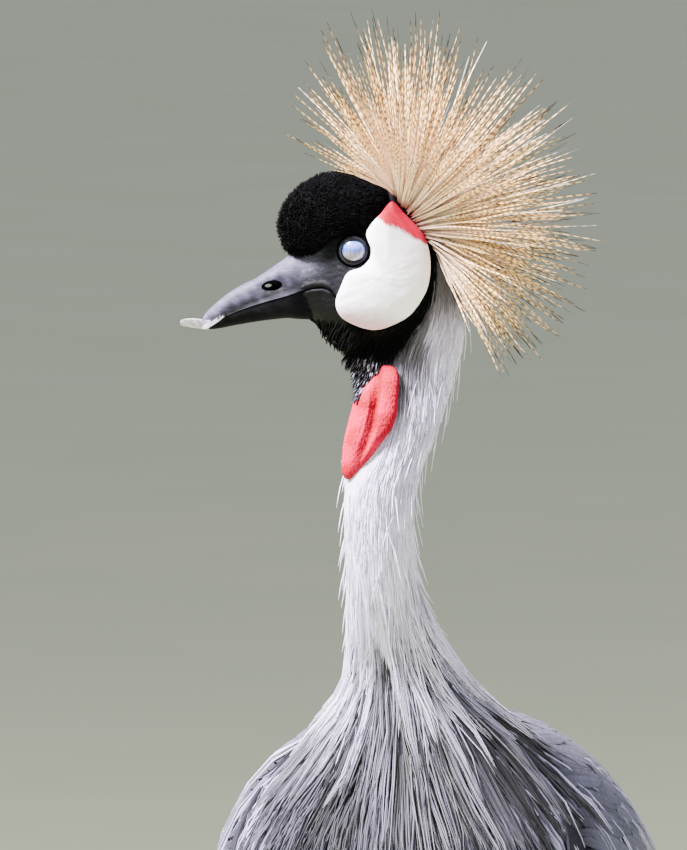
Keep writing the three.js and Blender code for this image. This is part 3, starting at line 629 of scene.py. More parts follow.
def blade_template(profile: list[tuple[float, float]]) -> Template:
    """Models a tapered blade: a thin three-sided prism cut into lengths, each end drawn in.

    Args:
        profile: Pairs of a share of the length and the half width there, from the root to the tip.

    Returns:
        The template.
    """
    deselect()
    bpy.ops.mesh.primitive_cylinder_add(vertices=3, radius=1, depth=1, location=(0, 0, 0.5))
    obj = bpy.context.object
    bpy.ops.object.transform_apply(location=True, rotation=True, scale=True)
    for share, _ in profile[1:-1]:
        edit(obj)
        bpy.ops.mesh.bisect(plane_co=(0, 0, share), plane_no=(0, 0, 1))
        close_edit()
    for share, half in profile:
        select_where(obj, np.abs(places(obj)[:, 2] - share) < 1e-3)
        bpy.ops.transform.resize(value=(half, max(half, 0.3), 1), center_override=(0, 0, share))
        close_edit()
    return read_template(obj)


def vane_template(
    profile: list[tuple[float, float]], across: int, camber: float, shift: float = 0.0
) -> Template:
    """Models a broad feather: a grid shaped to its outline and given a thickness.

    Args:
        profile: Pairs of a share of the length and the half width there.
        across: Faces across the feather.
        camber: How far its edges hang below its middle, as a share of the half width.
        shift: How far the shaft lies towards one edge.

    Returns:
        The template.
    """
    deselect()
    bpy.ops.mesh.primitive_grid_add(x_subdivisions=across, y_subdivisions=len(profile) - 1, size=2)
    obj = bpy.context.object
    points = places(obj)
    rows = np.round((points[:, 1] + 1) / 2 * (len(profile) - 1)).astype(int)
    shares, halves = np.array(profile).T
    width = halves[rows] * points[:, 0]
    bow = 0.05 * (points[:, 0] ** 2) * smooth(shares[rows], 0.7, 1.0)
    move_to(obj, np.stack([width + shift * (1 - points[:, 0] ** 2), 0 * width, shares[rows] - bow], axis=1))
    apply_modifier(obj, "SOLIDIFY", thickness=1.0, offset=0.0)
    return read_template(obj, camber)


@dataclass
class Batch:
    """Feathers ready to be laid: where each one runs, and its size, colour and place on the bake map."""

    paths: Array
    faces: Array
    half: Array
    thick: Array
    tint: Array
    roots: Array

    def joined(self, other: "Batch") -> "Batch":
        """This batch with another one's feathers after its own."""
        names = [f.name for f in fields(self)]
        return Batch(*(np.concatenate([getattr(self, n), getattr(other, n)]) for n in names))

    def gather(self, strands: int, pull: float) -> None:
        """Draws the strands of each lock together towards their tips.

        Args:
            strands: How many strands in turn make one lock.
            pull: How far their tips close up, from 0 to 1.
        """
        locks = self.paths.reshape(-1, strands, *self.paths.shape[1:])
        middle = locks.mean(axis=1, keepdims=True)
        share = np.linspace(0, 1, self.paths.shape[1])
        hold = (1 + 0.5 * np.sin(math.pi * share)) * (1 - pull * share**2)
        self.paths[:] = (middle + (locks - middle) * hold[:, None]).reshape(self.paths.shape)

    def wave(self, phase: Array, sway: float) -> None:
        """Lets the feathers swing from side to side, more so towards their tips.

        Args:
            phase: Where in its swing each one starts, from 0 to 1.
            sway: How far their tips swing out.
        """
        share = np.linspace(0, 1, self.paths.shape[1])
        aside = unit(np.cross(self.faces, np.gradient(self.paths, axis=1)))
        swing = sway * share * np.sin(2 * np.pi * (1.1 * share + phase[:, None]))
        self.paths += aside * swing[..., None]

    def chosen(self, keep: Array) -> "Batch":
        """The feathers of this batch that a row of truth values keeps."""
        return Batch(*(getattr(self, f.name)[keep] for f in fields(self)))


def lay(name: str, template: Template, batch: Batch) -> Object:
    """Copies a template along every path of a batch, as one mesh with its maps.

    Args:
        name: The piece's name.
        template: The feather to copy.
        batch: Where the copies go, in the bird's frame.

    Returns:
        The new object, in metres, with the maps OFBake and Vane and the attribute tint.
    """
    count, steps = batch.paths.shape[:2]
    x, height, t = template.points.T
    place = np.clip(t, 0, 1) * (steps - 1)
    i = np.minimum(place.astype(int), steps - 2)
    f = (place - i)[None, :, None]
    run = unit(np.gradient(batch.paths, axis=1))
    across = unit(np.cross(batch.faces, run))
    face = np.cross(run, across)
    path = blend(batch.paths[:, i], batch.paths[:, i + 1], f)
    sideways = unit(blend(across[:, i], across[:, i + 1], f))
    out = unit(blend(face[:, i], face[:, i + 1], f))
    half = batch.half[:, None, None]
    rise = batch.thick[:, None, None] * height[None, :, None] - template.camber * half * (x**2)[None, :, None]
    points = to_row(path + sideways * half * x[None, :, None] + out * rise).reshape(-1, 3)

    per = len(template.points)
    sizes = np.array([len(face) for face in template.faces])
    corners = np.concatenate([np.array(face) for face in template.faces])
    loops = (corners[None, :] + per * np.arange(count)[:, None]).ravel()
    mesh = bpy.data.meshes.new(name)
    mesh.vertices.add(len(points))
    mesh.vertices.foreach_set("co", points.astype(np.float32).ravel())
    mesh.loops.add(len(loops))
    mesh.loops.foreach_set("vertex_index", loops.astype(np.int32))
    mesh.polygons.add(len(sizes) * count)
    starts = np.concatenate([[0], np.cumsum(np.tile(sizes, count))[:-1]])
    mesh.polygons.foreach_set("loop_start", starts.astype(np.int32))
    mesh.update(calc_edges=True)

    spread = np.stack([(x[corners] + 1) / 2, t[corners]], axis=1)
    bake = batch.roots[:, None, :] + (spread[None] - 0.5) * BAKE_PATCH
    mesh.uv_layers.new(name="OFBake").uv.foreach_set("vector", bake.astype(np.float32).ravel())
    vane = np.repeat(spread[None], count, 0)
    mesh.uv_layers.new(name="Vane").uv.foreach_set("vector", vane.astype(np.float32).ravel())
    tint = mesh.attributes.new(name="tint", type="FLOAT_COLOR", domain="POINT")
    tint.data.foreach_set("color", np.repeat(batch.tint, per, 0).astype(np.float32).ravel())
    obj = bpy.data.objects.new(name, mesh)
    bpy.context.scene.collection.objects.link(obj)
    if volume(mesh) < 0:
        mesh.flip_normals()
    return obj


def volume(mesh: Mesh) -> float:
    """Six times the volume that a mesh holds, below zero where its faces look inwards."""
    mesh.calc_loop_triangles()
    corners = gathered(mesh.loop_triangles, "vertices")
    a, b, c = gathered(mesh.vertices, "co", float)[corners].transpose(1, 0, 2)
    return float(np.einsum("ij,ij->i", a, np.cross(b, c)).sum())


def unwrap(points: Array) -> Array:
    """Places of the bird's frame on an unwrap of its skin: the body round its long axis, the neck and the
    head round their middle line, the legs round theirs.

    Args:
        points: Places on the skin.

    Returns:
        Two numbers from 0 to 1 for each place.
    """
    share = BODY.scaled(points)
    body_u = np.arctan2(share[:, 1], share[:, 2]) / (2 * np.pi) + 0.5
    body_v = np.clip(share[:, 0], -1.6, 1.1) / 2.7 + 0.6
    z = points[:, 2]
    x, y, _, _ = neck_at(z).T
    neck_u = np.arctan2(points[:, 0] - x, points[:, 1] - y) / (2 * np.pi) + 0.5
    neck_v = (z - 640) / 380
    on_neck = z > NECK_FOOT
    on_leg = (z < THIGH_TOP) & (np.abs(share[:, 1]) < 0.75) & (points[:, 1] < 20) & (points[:, 1] > -80)
    leg_u = np.arctan2(np.abs(points[:, 0]) - LEG.spread, points[:, 1] + 20) / (4 * np.pi) + 0.25
    leg_u = leg_u + 0.5 * (points[:, 0] > 0)
    u = np.where(on_neck, neck_u, np.where(on_leg, leg_u, body_u))
    low_v = np.where(on_leg, 0.01 + 0.14 * z / THIGH_TOP, 0.16 + 0.42 * body_v)
    v = np.where(on_neck, 0.6 + 0.38 * neck_v, low_v)
    return 0.003 + 0.994 * np.clip(np.stack([u, v], axis=1), 0, 1)


class Carrier:
    """A surface that feathers grow on and lie over."""

    def __init__(self, *objects: Object) -> None:
        """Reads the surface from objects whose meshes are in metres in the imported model's frame."""
        points: list[Array] = []
        corners: list[Array] = []
        start = 0
        for obj in objects:
            obj.data.calc_loop_triangles()
            points.append(in_bird(obj))
            corners.append(gathered(obj.data.loop_triangles, "vertices") + start)
            start += len(obj.data.vertices)
        self.points = np.concatenate(points)
        self.corners = np.concatenate(corners)
        a, b, c = self.points[self.corners].transpose(1, 0, 2)
        cross = np.cross(b - a, c - a)
        self.area = np.linalg.norm(cross, axis=1) / 2
        self.normals = unit(cross)
        self.tree = BVHTree.FromPolygons(self.points.tolist(), self.corners.tolist())

    def nearest(self, points: Array) -> tuple[Array, Array]:
        """The nearest places on the surface, and the way that it looks there."""
        found = [self.tree.find_nearest(p) for p in points.tolist()]
        return np.array([f[0] for f in found]), np.array([f[1] for f in found])

    def roots(
        self, spacing: float, wanted: Callable[[Array], Array], seed: int
    ) -> tuple[Array, Array]:
        """Spreads roots evenly over part of the surface.

        Args:
            spacing: The least distance between two roots.
            wanted: A function that takes places and gives a truth value for each.
            seed: Seed of the random draw.

        Returns:
            The roots and the way that the surface looks there.
        """
        random = np.random.default_rng(seed)
        a, b, c = self.points[self.corners].transpose(1, 0, 2)
        area = np.where(wanted((a + b + c) / 3), self.area, 0)
        count = int(area.sum() / spacing**2 * 3.2)
        picked = random.choice(len(area), size=count, p=area / area.sum())
        u, v = random.random((2, count))
        flip = u + v > 1
        u, v = np.where(flip, 1 - u, u)[:, None], np.where(flip, 1 - v, v)[:, None]
        spots = a[picked] + (b - a)[picked] * u + (c - a)[picked] * v
        keep = thinned(spots, spacing)
        return spots[keep], self.normals[picked][keep]

    def walk(
        self, roots: Array, normals: Array, lie: Callable[[Array], Array], length: Array, rise: Array,
        swerve: Array, hold: float = 1.0,
    ) -> tuple[Array, Array]:
        """Runs a path from each root over the surface, along the lie of the coat.

        Args:
            roots: Where the paths start.
            normals: The way that the surface looks at the roots.
            lie: A function that takes places and gives the way that the coat lies there.
            length: How long each path is.
            rise: Heights over the surface, one for each point of a path.
            swerve: How far each path turns aside, in radians.
            hold: How closely a path keeps to the surface, from 0 for straight to 1.

        Returns:
            The paths and the way that the surface looks under each of their points.
        """
        steps = rise.shape[1]
        stride = (length / (steps - 1))[:, None]
        here, face = roots, normals
        heading = unit(lie(here))
        sideways = np.cross(face, heading)
        heading = unit(heading + sideways * np.tan(swerve)[:, None])
        paths, faces = [here + face * rise[:, :1]], [face]
        for k in range(1, steps):
            heading = unit(heading - face * np.einsum("ij,ij->i", heading, face)[:, None])
            ahead = here + heading * stride
            found, looks = self.nearest(ahead)
            drop = ahead - found
            here = found + drop * (1 - hold)
            face = unit(face * 0.35 + looks * 0.65)
            heading = unit(unit(lie(here)) * 0.35 + heading)
            paths.append(here + face * rise[:, k : k + 1])
            faces.append(face)
        return np.stack(paths, axis=1), np.stack(faces, axis=1)


def thinned(points: Array, spacing: float) -> Array:
    """Chooses points that keep a distance from each other.

    Args:
        points: The points to choose from, in order of preference.
        spacing: The least distance between two chosen ones.

    Returns:
        The numbers of the chosen points.
    """
    cells: dict[tuple[int, int, int], list[tuple[float, float, float]]] = {}
    keys = np.floor(points / spacing).astype(int).tolist()
    kept: list[int] = []
    limit = spacing * spacing
    around = [(i, j, k) for i in (-1, 0, 1) for j in (-1, 0, 1) for k in (-1, 0, 1)]
    for n, ((i, j, k), (x, y, z)) in enumerate(zip(keys, points.tolist())):
        near = (q for di, dj, dk in around for q in cells.get((i + di, j + dj, k + dk), ()))
        if any((x - a) ** 2 + (y - b) ** 2 + (z - c) ** 2 < limit for a, b, c in near):
            continue
        cells.setdefault((i, j, k), []).append((x, y, z))
        kept.append(n)
    return np.array(kept)


@dataclass(frozen=True)
class Markings:
    """The colours of the skin and of the coat that grows on it, by place."""

    black: str = "#030304"
    jaw: str = "#08080d"
    lores: str = "#17171c"
    brow: str = "#4f4d5e"
    # the nape's grey: partly its own colour, partly painted shadow of the head and crest
    nape: str = "#67626e"
    neck: str = "#e7dffc"
    collar: str = "#a6a0c0"
    mantle: str = "#6a687f"
    breast: str = "#5a5870"
    belly: str = "#636476"
    thigh: str = "#62637a"
    edge: tuple[tuple[float, float], ...] = (
        (-24.5, 6), (-24.0, -11), (-22.4, -19.6), (-18.5, -27), (-13.5, -34.8), (-7, -42), (-1, -48),
        (4, -52), (9, -58), (13, -66), (22, -68), (30, -68),
    )  # lower edge of the black throat: forward and up, in the head's own frame
    gape: tuple[tuple[float, float], ...] = (
        (19, -23), (22.5, -20), (24.5, -16.5), (27, -13), (31, -11.6), (36, -12.0), (43, -14.3), (50, -16.2),
        (60, -18.8), (70, -21.8),
    )  # the line of the mouth, forward and up

    def black_share(self, points: Array) -> Array:
        """How black the feathers of the head and throat are at places, from 0 to 1."""
        _, forward, up = split_head(into_head(points))
        limit = read(self.edge, forward)
        behind = smooth(forward, -26.0, -23.6)
        return smooth(up - limit, -1.8, 1.8) * behind

    def face(self, local: Array) -> Array:
        """The colour of the bare skin between eye and bill, at places of the head's own frame."""
        _, forward, up = split_head(local)
        toward_brow = smooth(forward, 27, 40) * smooth(up - 0.25 * (40 - forward), -11, 0)
        tone = blend(shade(self.lores), shade(self.brow), toward_brow[:, None])
        under = smooth(read(self.gape, forward) - up, -0.4, 0.9)[:, None]
        return blend(tone, shade(self.jaw), under)

    def colour(self, points: Array) -> Array:
        """The colour at places of the bird's frame, in linear red, green and blue.

        Args:
            points: The places.

        Returns:
            One colour for each place.
        """
        z = points[:, 2]
        local = into_head(points)
        _, forward, up = split_head(local)
        below = np.clip(read(self.edge, forward) - up, 0, None)
        out = BODY.scaled(points)
        # The nape's grey next to the black and behind it: partly its own grey, partly painted shadow of the
        # head and crest.
        grey = smooth(z, 775, 800) * (1 - smooth(below, 10, 34)) * smooth(-forward, -12, 2)
        layers = (
            (self.breast, smooth(out[:, 0], -0.5, 0.3)),
            (self.mantle, smooth(out[:, 2] + 0.3 * out[:, 0], 0.1, 0.8)),
            (self.thigh, smooth(-z, -440, -400)),
            (self.collar, smooth(z, 602, 655)),
            (self.neck, smooth(z, 638, 698)),
            (self.nape, np.clip(grey, 0, 1)),
            (self.black, self.black_share(points) * smooth(z, 790, 800)),
        )
        tone = np.tile(shade(self.belly), (len(points), 1))
        for over, share in layers:
            tone = blend(tone, shade(over), share[:, None])
        on_face = (smooth(forward, 13, 18) * smooth(up, -30, -24) * smooth(z, *HEAD_FOOT))[:, None]
        return blend(tone, self.face(local), on_face)


MARKINGS = Markings()


def body_lie(points: Array) -> Array:
    """The way that the coat of neck, body and thighs lies: down the neck, out from its root and back.

    Args:
        points: Places of the bird's frame.

    Returns:
        One direction for each place.
    """
    z = points[:, 2]
    x, y, _, _ = neck_at(z).T
    below = neck_at(z - 6)
    down = np.stack([below[:, 0] - x, below[:, 1] - y, np.full(len(z), -6.0)], axis=1)
    spread = unit(points - np.array([0, -112, 668])) + np.array([0, 0.25, -0.25])
    on_neck = smooth(z, 615, 675)[:, None]
    body = blend(unit(spread), unit(down), on_neck)
    on_leg = (smooth(-z, -470, -430) * (np.abs(BODY.scaled(points)[:, 1]) < 0.8))[:, None]
    return unit(blend(body, np.array([0, 0.15, -1.0]), on_leg))


def tinted(colours: Array, spread: float, random: np.random.Generator) -> Array:
    """Colours with a light or dark turn for each feather, and a random number as their fourth value."""
    vary = 1 + spread * (random.random((len(colours), 1)) - 0.5)
    return np.concatenate([np.clip(colours * vary, 0, 1), random.random((len(colours), 1))], axis=1)


# Finishes: what each surface of the bird is, and what that gives the eye.

WHITE = "#ffffff"
TINT = ("tint", "Attribute", {"attribute_name": "tint"}, {})
VANE = ("vane", "UVMap", {"uv_map": "Vane"}, {})
SPACE = ("space", "TexCoord", {}, {})
SPLIT = ("split", "SeparateXYZ", {}, {0: "vane.UV"})


NodeRow = tuple[str, str, dict[str | int, object], dict[str | int, str]]


@dataclass(frozen=True)
class Recipe:
    """How a finish is mixed.

    Each node has a name, a kind, its settings and what feeds its inputs. A source is a node's name, alone for
    its first output or followed by a dot and the output's name or number.
    """

    nodes: tuple[NodeRow, ...]
    shader: dict[str, object]
    layers: tuple[tuple[str, float], ...] = ()  # what the colour is multiplied by, and how much of that shows
    relief: tuple[str, float] | None = None  # the pattern pressed into the surface, and its depth
    base: str = "tint.Color"

    def build(self, name: str) -> Material:
        """Makes the material of this name.

        Args:
            name: The material's name.

        Returns:
            The material.
        """
        material = bpy.data.materials.new(name)
        material.use_nodes = True
        tree = material.node_tree
        tree.nodes.clear()
        shader = add_node(tree, "BsdfPrincipled", self.shader)
        add_node(tree, "OutputMaterial", links={"Surface": shader.outputs["BSDF"]})
        made: dict[str, Node] = {}

        def output(source: str) -> NodeSocket:
            """The output that a source names."""
            word, _, socket = source.partition(".")
            return made[word].outputs[socket if socket and not socket.isdigit() else int(socket or 0)]

        for word, kind, settings, links in self.nodes:
            sources = {key: output(source) for key, source in links.items()}
            made[word] = add_node(tree, kind, settings, sources)
        colour = output(self.base)
        for source, share in self.layers:
            settings = {"data_type": "RGBA", "blend_type": "MULTIPLY", 0: share}
            colour = add_node(tree, "Mix", settings, {6: colour, 7: output(source)}).outputs[2]
        tree.links.new(colour, shader.inputs["Base Color"])
        if self.relief:
            height, depth = output(self.relief[0]), self.relief[1] * MM
            bump = add_node(tree, "Bump", {"Strength": 1.0, "Distance": depth}, {"Height": height})
            tree.links.new(bump.outputs["Normal"], shader.inputs["Normal"])
        return material


@dataclass(frozen=True)
class FeatherFinish:
    """Feather keratin, grown as barbs from a shaft: soft, matt and streaked, with painted shade at its root.
    """

    name: str
    barbs: float  # streaks along the feather: bundles of barbs, because single ones are too fine to show
    contrast: float = 0.35
    root: str = "#8f8f99"  # what the colour is multiplied by at the root, where the down lies in shade
    edge: str = WHITE
    roughness: float = 0.72
    sheen: float = 0.12
    gloss: float = 0.2
    slant: float = 0.8

    def build(self) -> Material:
        """Makes the material."""
        shaft = [(0.0, "#d8d8dc"), (0.05, WHITE), (0.34, WHITE), (0.5, self.edge)]
        nodes = (
            TINT,
            VANE,
            SPLIT,
            ("aside", "Math", {"operation": "SUBTRACT", 1: 0.5}, {0: "split.X"}),
            ("far", "Math", {"operation": "ABSOLUTE"}, {0: "aside"}),
            ("swept", "Math", {"operation": "MULTIPLY_ADD", 1: -self.slant / 4}, {0: "far", 2: "split.Y"}),
            ("place", "CombineXYZ", {}, {0: "swept", 1: "tint.Alpha"}),
            ("streaks", "TexNoise", {"Scale": self.barbs, "Detail": 3.0}, {"Vector": "place"}),
            ("light", "ValToRGB", {"stops": [(0.34, "#9a9aa0"), (0.66, WHITE)]}, {0: "streaks"}),
            ("root", "ValToRGB", {"stops": [(0.0, self.root), (0.5, WHITE)]}, {0: "split.Y"}),
            ("edge", "ValToRGB", {"stops": shaft}, {0: "far"}),
        )
        shader = {
            "Roughness": self.roughness,
            "Specular IOR Level": self.gloss,
            "Sheen Weight": self.sheen,
            "Sheen Roughness": 0.5,
        }
        layers = (("light", self.contrast), ("root", 1.0), ("edge", 1.0))
        return Recipe(nodes, shader, layers, ("streaks", 0.12)).build(self.name)


@dataclass(frozen=True)
class SkinFinish:
    """Bird skin under a coat or bare: leathery, mottled and finely creased."""

    name: str
    mottle: float = 700.0  # per metre: mottles 1.5 mm wide
    contrast: float = 0.5
    crease: float = 1500.0  # creases 0.7 mm apart
    depth: float = 0.15
    roughness: float = 0.62
    gloss: float = 0.07
    bleed: float = 0.0  # how far light goes into the skin, in millimetres

    def build(self) -> Material:
        """Makes the material."""
        spots = {"Scale": self.mottle, "Detail": 4.0, "Roughness": 0.65}
        nodes = (
            TINT,
            SPACE,
            ("mottle", "TexNoise", spots, {0: "space.Object"}),
            ("tones", "ValToRGB", {"stops": [(0.32, "#8d8d92"), (0.68, WHITE)]}, {0: "mottle"}),
            ("cells", "TexVoronoi", {"Scale": self.crease, "feature": "SMOOTH_F1"}, {0: "space.Object"}),
            ("both", "Math", {"operation": "MULTIPLY_ADD", 1: 0.6}, {0: "mottle", 2: "cells"}),
        )
        shader = {"Roughness": self.roughness, "Specular IOR Level": self.gloss}
        if self.bleed:
            shader["Subsurface Weight"] = 0.35
            shader["Subsurface Radius"] = (1.0, 0.35, 0.25)
            shader["Subsurface Scale"] = self.bleed * MM
        return Recipe(nodes, shader, (("tones", self.contrast),), ("both", self.depth)).build(self.name)


@dataclass(frozen=True)
class HornFinish:
    """Horn of bill and claws: keratin grown in long layers, satin and slightly worn."""

    name: str
    grain: float = 260.0  # per metre: scuffs 4 mm apart, and three times as many growth lines
    roughness: float = 0.42
    index: float = 1.54

    def build(self) -> Material:
        """Makes the material."""
        rubbed = {"Scale": self.grain, "Detail": 5.0, "Distortion": 0.6}
        nodes = (
            TINT,
            SPACE,
            ("drawn", "Mapping", {"Scale": (0.22, 1.0, 1.6)}, {0: "space.Object"}),
            ("grain", "TexNoise", {"Scale": self.grain * 3, "Detail": 6.0, "Roughness": 0.7}, {0: "drawn"}),
            ("scuffs", "TexNoise", rubbed, {0: "space.Object"}),
            ("dark", "ValToRGB", {"stops": [(0.3, "#7c7c84"), (0.62, WHITE)]}, {0: "grain"}),
            ("worn", "ValToRGB", {"stops": [(0.35, "#a0a0a6"), (0.6, WHITE)]}, {0: "scuffs"}),
            ("both", "Math", {"operation": "ADD"}, {0: "grain", 1: "scuffs"}),
        )
        shader = {"Roughness": self.roughness, "IOR": self.index, "Specular IOR Level": 0.06}
        return Recipe(nodes, shader, (("dark", 0.5), ("worn", 0.45)), ("both", 0.18)).build(self.name)


@dataclass(frozen=True)
class WattleFinish:
    """Bare red wattle skin, swollen with blood: coral on its beads, with painted shade in the creases between
    them.
    """

    name: str = "beaded_wattle_skin"
    beads: float = 1250.0  # per metre: beads 0.8 mm apart
    # the darker red multiplied into the creases between the beads, as painted shade
    creases: str = "#c88c96"

    def build(self) -> Material:
        """Makes the material."""
        nodes = (
            TINT,
            SPACE,
            ("drawn", "Mapping", {"Scale": (1.0, 1.0, 0.55)}, {0: "space.Object"}),
            ("beads", "TexVoronoi", {"Scale": self.beads, "feature": "SMOOTH_F1"}, {0: "drawn"}),
            ("tones", "ValToRGB", {"stops": [(0.1, WHITE), (0.7, self.creases)]}, {0: "beads"}),
            ("patches", "TexNoise", {"Scale": 160.0, "Detail": 3.0}, {0: "space.Object"}),  # 6 mm wide
            ("pale", "ValToRGB", {"stops": [(0.3, "#ecdce0"), (0.65, WHITE)]}, {0: "patches"}),
            ("high", "Math", {"operation": "MULTIPLY", 1: -1.0}, {0: "beads"}),
        )
        shader = {
            "Roughness": 0.6,
            "Specular IOR Level": 0.06,
            "Subsurface Weight": 0.08,
            "Subsurface Radius": (1.0, 0.3, 0.2),
            "Subsurface Scale": 1.5 * MM,
        }
        return Recipe(nodes, shader, (("tones", 0.8), ("pale", 0.5)), ("high", 0.4)).build(self.name)


@dataclass(frozen=True)
class EyeFinish:
    """A wet eye with its third eyelid drawn across: milky blue above, brownish below, streaked upwards."""

    name: str = "milky_third_eyelid"
    upper: str = "#4560b2"
    lower: str = "#625459"
    rim: str = "#1c1d24"

    def build(self) -> Material:
        """Makes the material."""
        bands = [
            (0.2, self.rim), (0.3, self.lower), (0.5, "#77768c"), (0.62, self.upper), (0.8, "#7b93d6"),
            (0.95, self.rim),
        ]
        nodes = (
            ("face", "UVMap", {"uv_map": "Face"}, {}),
            ("split", "SeparateXYZ", {}, {0: "face.UV"}),
            ("wave", "Mapping", {"Scale": (26.0, 3.0, 1.0)}, {0: "face.UV"}),  # streaks 0.6 mm apart
            ("streaks", "TexNoise", {"Scale": 1.0, "Detail": 4.0}, {0: "wave"}),
            ("shaken", "Math", {"operation": "MULTIPLY_ADD", 1: 0.16}, {0: "streaks", 2: "split.Y"}),
            ("bands", "ValToRGB", {"stops": bands}, {0: "shaken"}),
            ("lines", "ValToRGB", {"stops": [(0.34, "#8c8e9c"), (0.6, WHITE)]}, {0: "streaks"}),
        )
        shader = {"Roughness": 0.18, "IOR": 1.38, "Coat Weight": 0.6, "Coat Roughness": 0.03}
        return Recipe(nodes, shader, (("lines", 0.75),), ("streaks", 0.05), base="bands").build(self.name)


@dataclass(frozen=True)
class BristleFinish:
    """Crest bristles: stiff twisted straw-gold shafts, with painted bands of twist highlight and shade, and
    black tips.
    """

    name: str = "banded_straw_bristles"
    root: str = "#ecd2bb"
    straw: str = "#ffcd80"
    band: str = "#7a5426"
    twists: float = 34.0  # painted bands of twist highlight and shade along a bristle: one for each 2.5 mm
    tip_from: float = 0.87

    def build(self) -> Material:
        """Makes the material."""
        tips = [(self.tip_from - 0.1, WHITE), (self.tip_from, "#1c1716")]
        nodes = (
            TINT,
            VANE,
            SPLIT,
            ("place", "Math", {"operation": "MULTIPLY_ADD", 1: self.twists}, {0: "split.Y", 2: "split.X"}),
            ("turned", "Math", {"operation": "MULTIPLY_ADD", 1: 9.0}, {0: "tint.Alpha", 2: "place"}),
            ("cycle", "Math", {"operation": "PINGPONG", 1: 1.0}, {0: "turned"}),
            ("bands", "ValToRGB", {"stops": [(0.25, self.band), (0.6, self.straw)]}, {0: "cycle"}),
            ("grown", "MapRange", {"From Min": 0.15, "From Max": 0.6}, {"Value": "split.Y"}),
            ("mixed", "Mix", {"data_type": "RGBA", 6: linear(self.root)}, {0: "grown", 7: "bands"}),
            ("start", "Math", {"operation": "MULTIPLY_ADD", 1: -0.16}, {0: "tint.Alpha", 2: "split.Y"}),
            ("tips", "ValToRGB", {"stops": tips}, {0: "start"}),
        )
        shader = {"Roughness": 0.5, "Sheen Weight": 0.1}
        return Recipe(nodes, shader, (("mixed.2", 1.0), ("tips", 1.0)), ("cycle", 0.12)).build(self.name)


@dataclass(frozen=True)
class LegFinish:
    """Leg skin: hard dark scutes of horn, darker in the seams between them."""

    name: str = "slate_leg_scales"
    scales: float = 330.0  # per metre: scales 3 mm across
    stretch: float = 0.7

    def build(self) -> Material:
        """Makes the material."""
        nodes = (
            TINT,
            SPACE,
            ("drawn", "Mapping", {"Scale": (1.0, 1.0, self.stretch)}, {0: "space.Object"}),
            ("seams", "TexVoronoi", {"Scale": self.scales, "feature": "DISTANCE_TO_EDGE"}, {0: "drawn"}),
            ("lines", "ValToRGB", {"stops": [(0.0, "#5c5a58"), (0.09, WHITE)]}, {0: "seams"}),
            ("worn", "TexNoise", {"Scale": 420.0, "Detail": 5.0}, {0: "space.Object"}),  # 2.4 mm wide
            ("tones", "ValToRGB", {"stops": [(0.3, "#8a8a8e"), (0.7, WHITE)]}, {0: "worn"}),
            ("flat", "MapRange", {"From Max": 0.12}, {"Value": "seams"}),
        )
        shader = {"Roughness": 0.6, "Specular IOR Level": 0.25}
        return Recipe(nodes, shader, (("lines", 0.8), ("tones", 0.8)), ("flat", 0.35)).build(self.name)


# The finishes by name, and what each gives the eye.

# Thin dark skin in fine folds: satin where it is stretched, matt in its creases.
BARE_SKIN = SkinFinish("bare_wrinkled_skin")
# Thin moist skin of the lids: finer creases and a little more shine.
EYELID = SkinFinish("eyelid_skin", crease=2200.0, roughness=0.5)
# Down under the velvet: dead matt, so that nothing shines between the feathers.
VELVET_GROUND = SkinFinish("velvet_ground", roughness=0.95, gloss=0.1)
# Short down at the roots of the crest: dark and matt.
CREST_DOWN = SkinFinish("crest_root_down", roughness=0.9)
# Short down at the root of the tail: dark and matt.
TAIL_DOWN = SkinFinish("tail_root_down", roughness=0.9)
# Down under the wing's feathers: matt, seen only as shade between them.
WING_DOWN = SkinFinish("wing_down", roughness=0.9)
# Old horn of the upper bill: satin, streaked along its growth and rubbed pale.
BILL_HORN = HornFinish("worn_bill_horn")
# Softer horn of the lower bill: dull, with hardly a highlight.
JAW_HORN = HornFinish("dull_jaw_horn", roughness=0.7, index=1.25)
# Hard horn of the claws: smoother than the bill, with a faint narrow highlight.
CLAW_HORN = HornFinish("claw_horn", roughness=0.38)
# Dense black pile seen end on: it swallows light.
VELVET_PILE = FeatherFinish("black_velvet_pile", 4.0, 0.3, "#7a7a80", roughness=0.9, sheen=0.0, gloss=0.04)
# Short loose black feathers: matt, with faint grey streaks.
THROAT = FeatherFinish("black_throat_feathers", 5.0, 0.4, "#8a8a90", WHITE, 0.8, 0.0, 0.06)
# Narrow loose barbs: pale and hardly streaked, so that the neck looks soft.
NECK_BARBS = FeatherFinish("lavender_neck_barbs", 4.0, 0.2, "#d6d4e2", roughness=0.7)
# Long loose plumes: streaked lengthwise, with deep shade at their roots.
MANTLE_PLUMES = FeatherFinish("grey_mantle_plumes", 6.0, 0.3, "#6e6f7c", roughness=0.68)
# Rounded close feathers: a scaly look, from the painted shade at each one's root, lighter towards its tip.
BODY_FEATHERS = FeatherFinish("slate_body_feathers", 12.0, 0.6, "#5c5c68")
# The same in small: a finer scaly look.
THIGH_FEATHERS = FeatherFinish("slate_thigh_feathers", 10.0, 0.6, "#5c5c68")
# Firm white vanes: fine barb lines, with a shaded rim that parts each from the next.
COVERT_VANES = FeatherFinish("white_covert_vanes", 30.0, 0.5, "#62616b", edge="#9a99a4", sheen=0.05)
# Hair-like golden barbs: a silky sheen along them.
GOLD_BARBS = FeatherFinish("straw_gold_barbs", 8.0, 0.35, "#b9a27c", sheen=0.2)
# Stiff chestnut vanes: smooth, with fine barb lines and a thin worn edge.
CHESTNUT_VANES = FeatherFinish("chestnut_vanes", 46.0, 0.35, "#7d6a66", edge="#c8a99c", roughness=0.6)
# Stiff black vanes: the smoothest feathers, with a faint gloss.
BLACK_VANES = FeatherFinish("black_vanes", 46.0, 0.4, "#808084", edge="#d8d8e0", roughness=0.55)
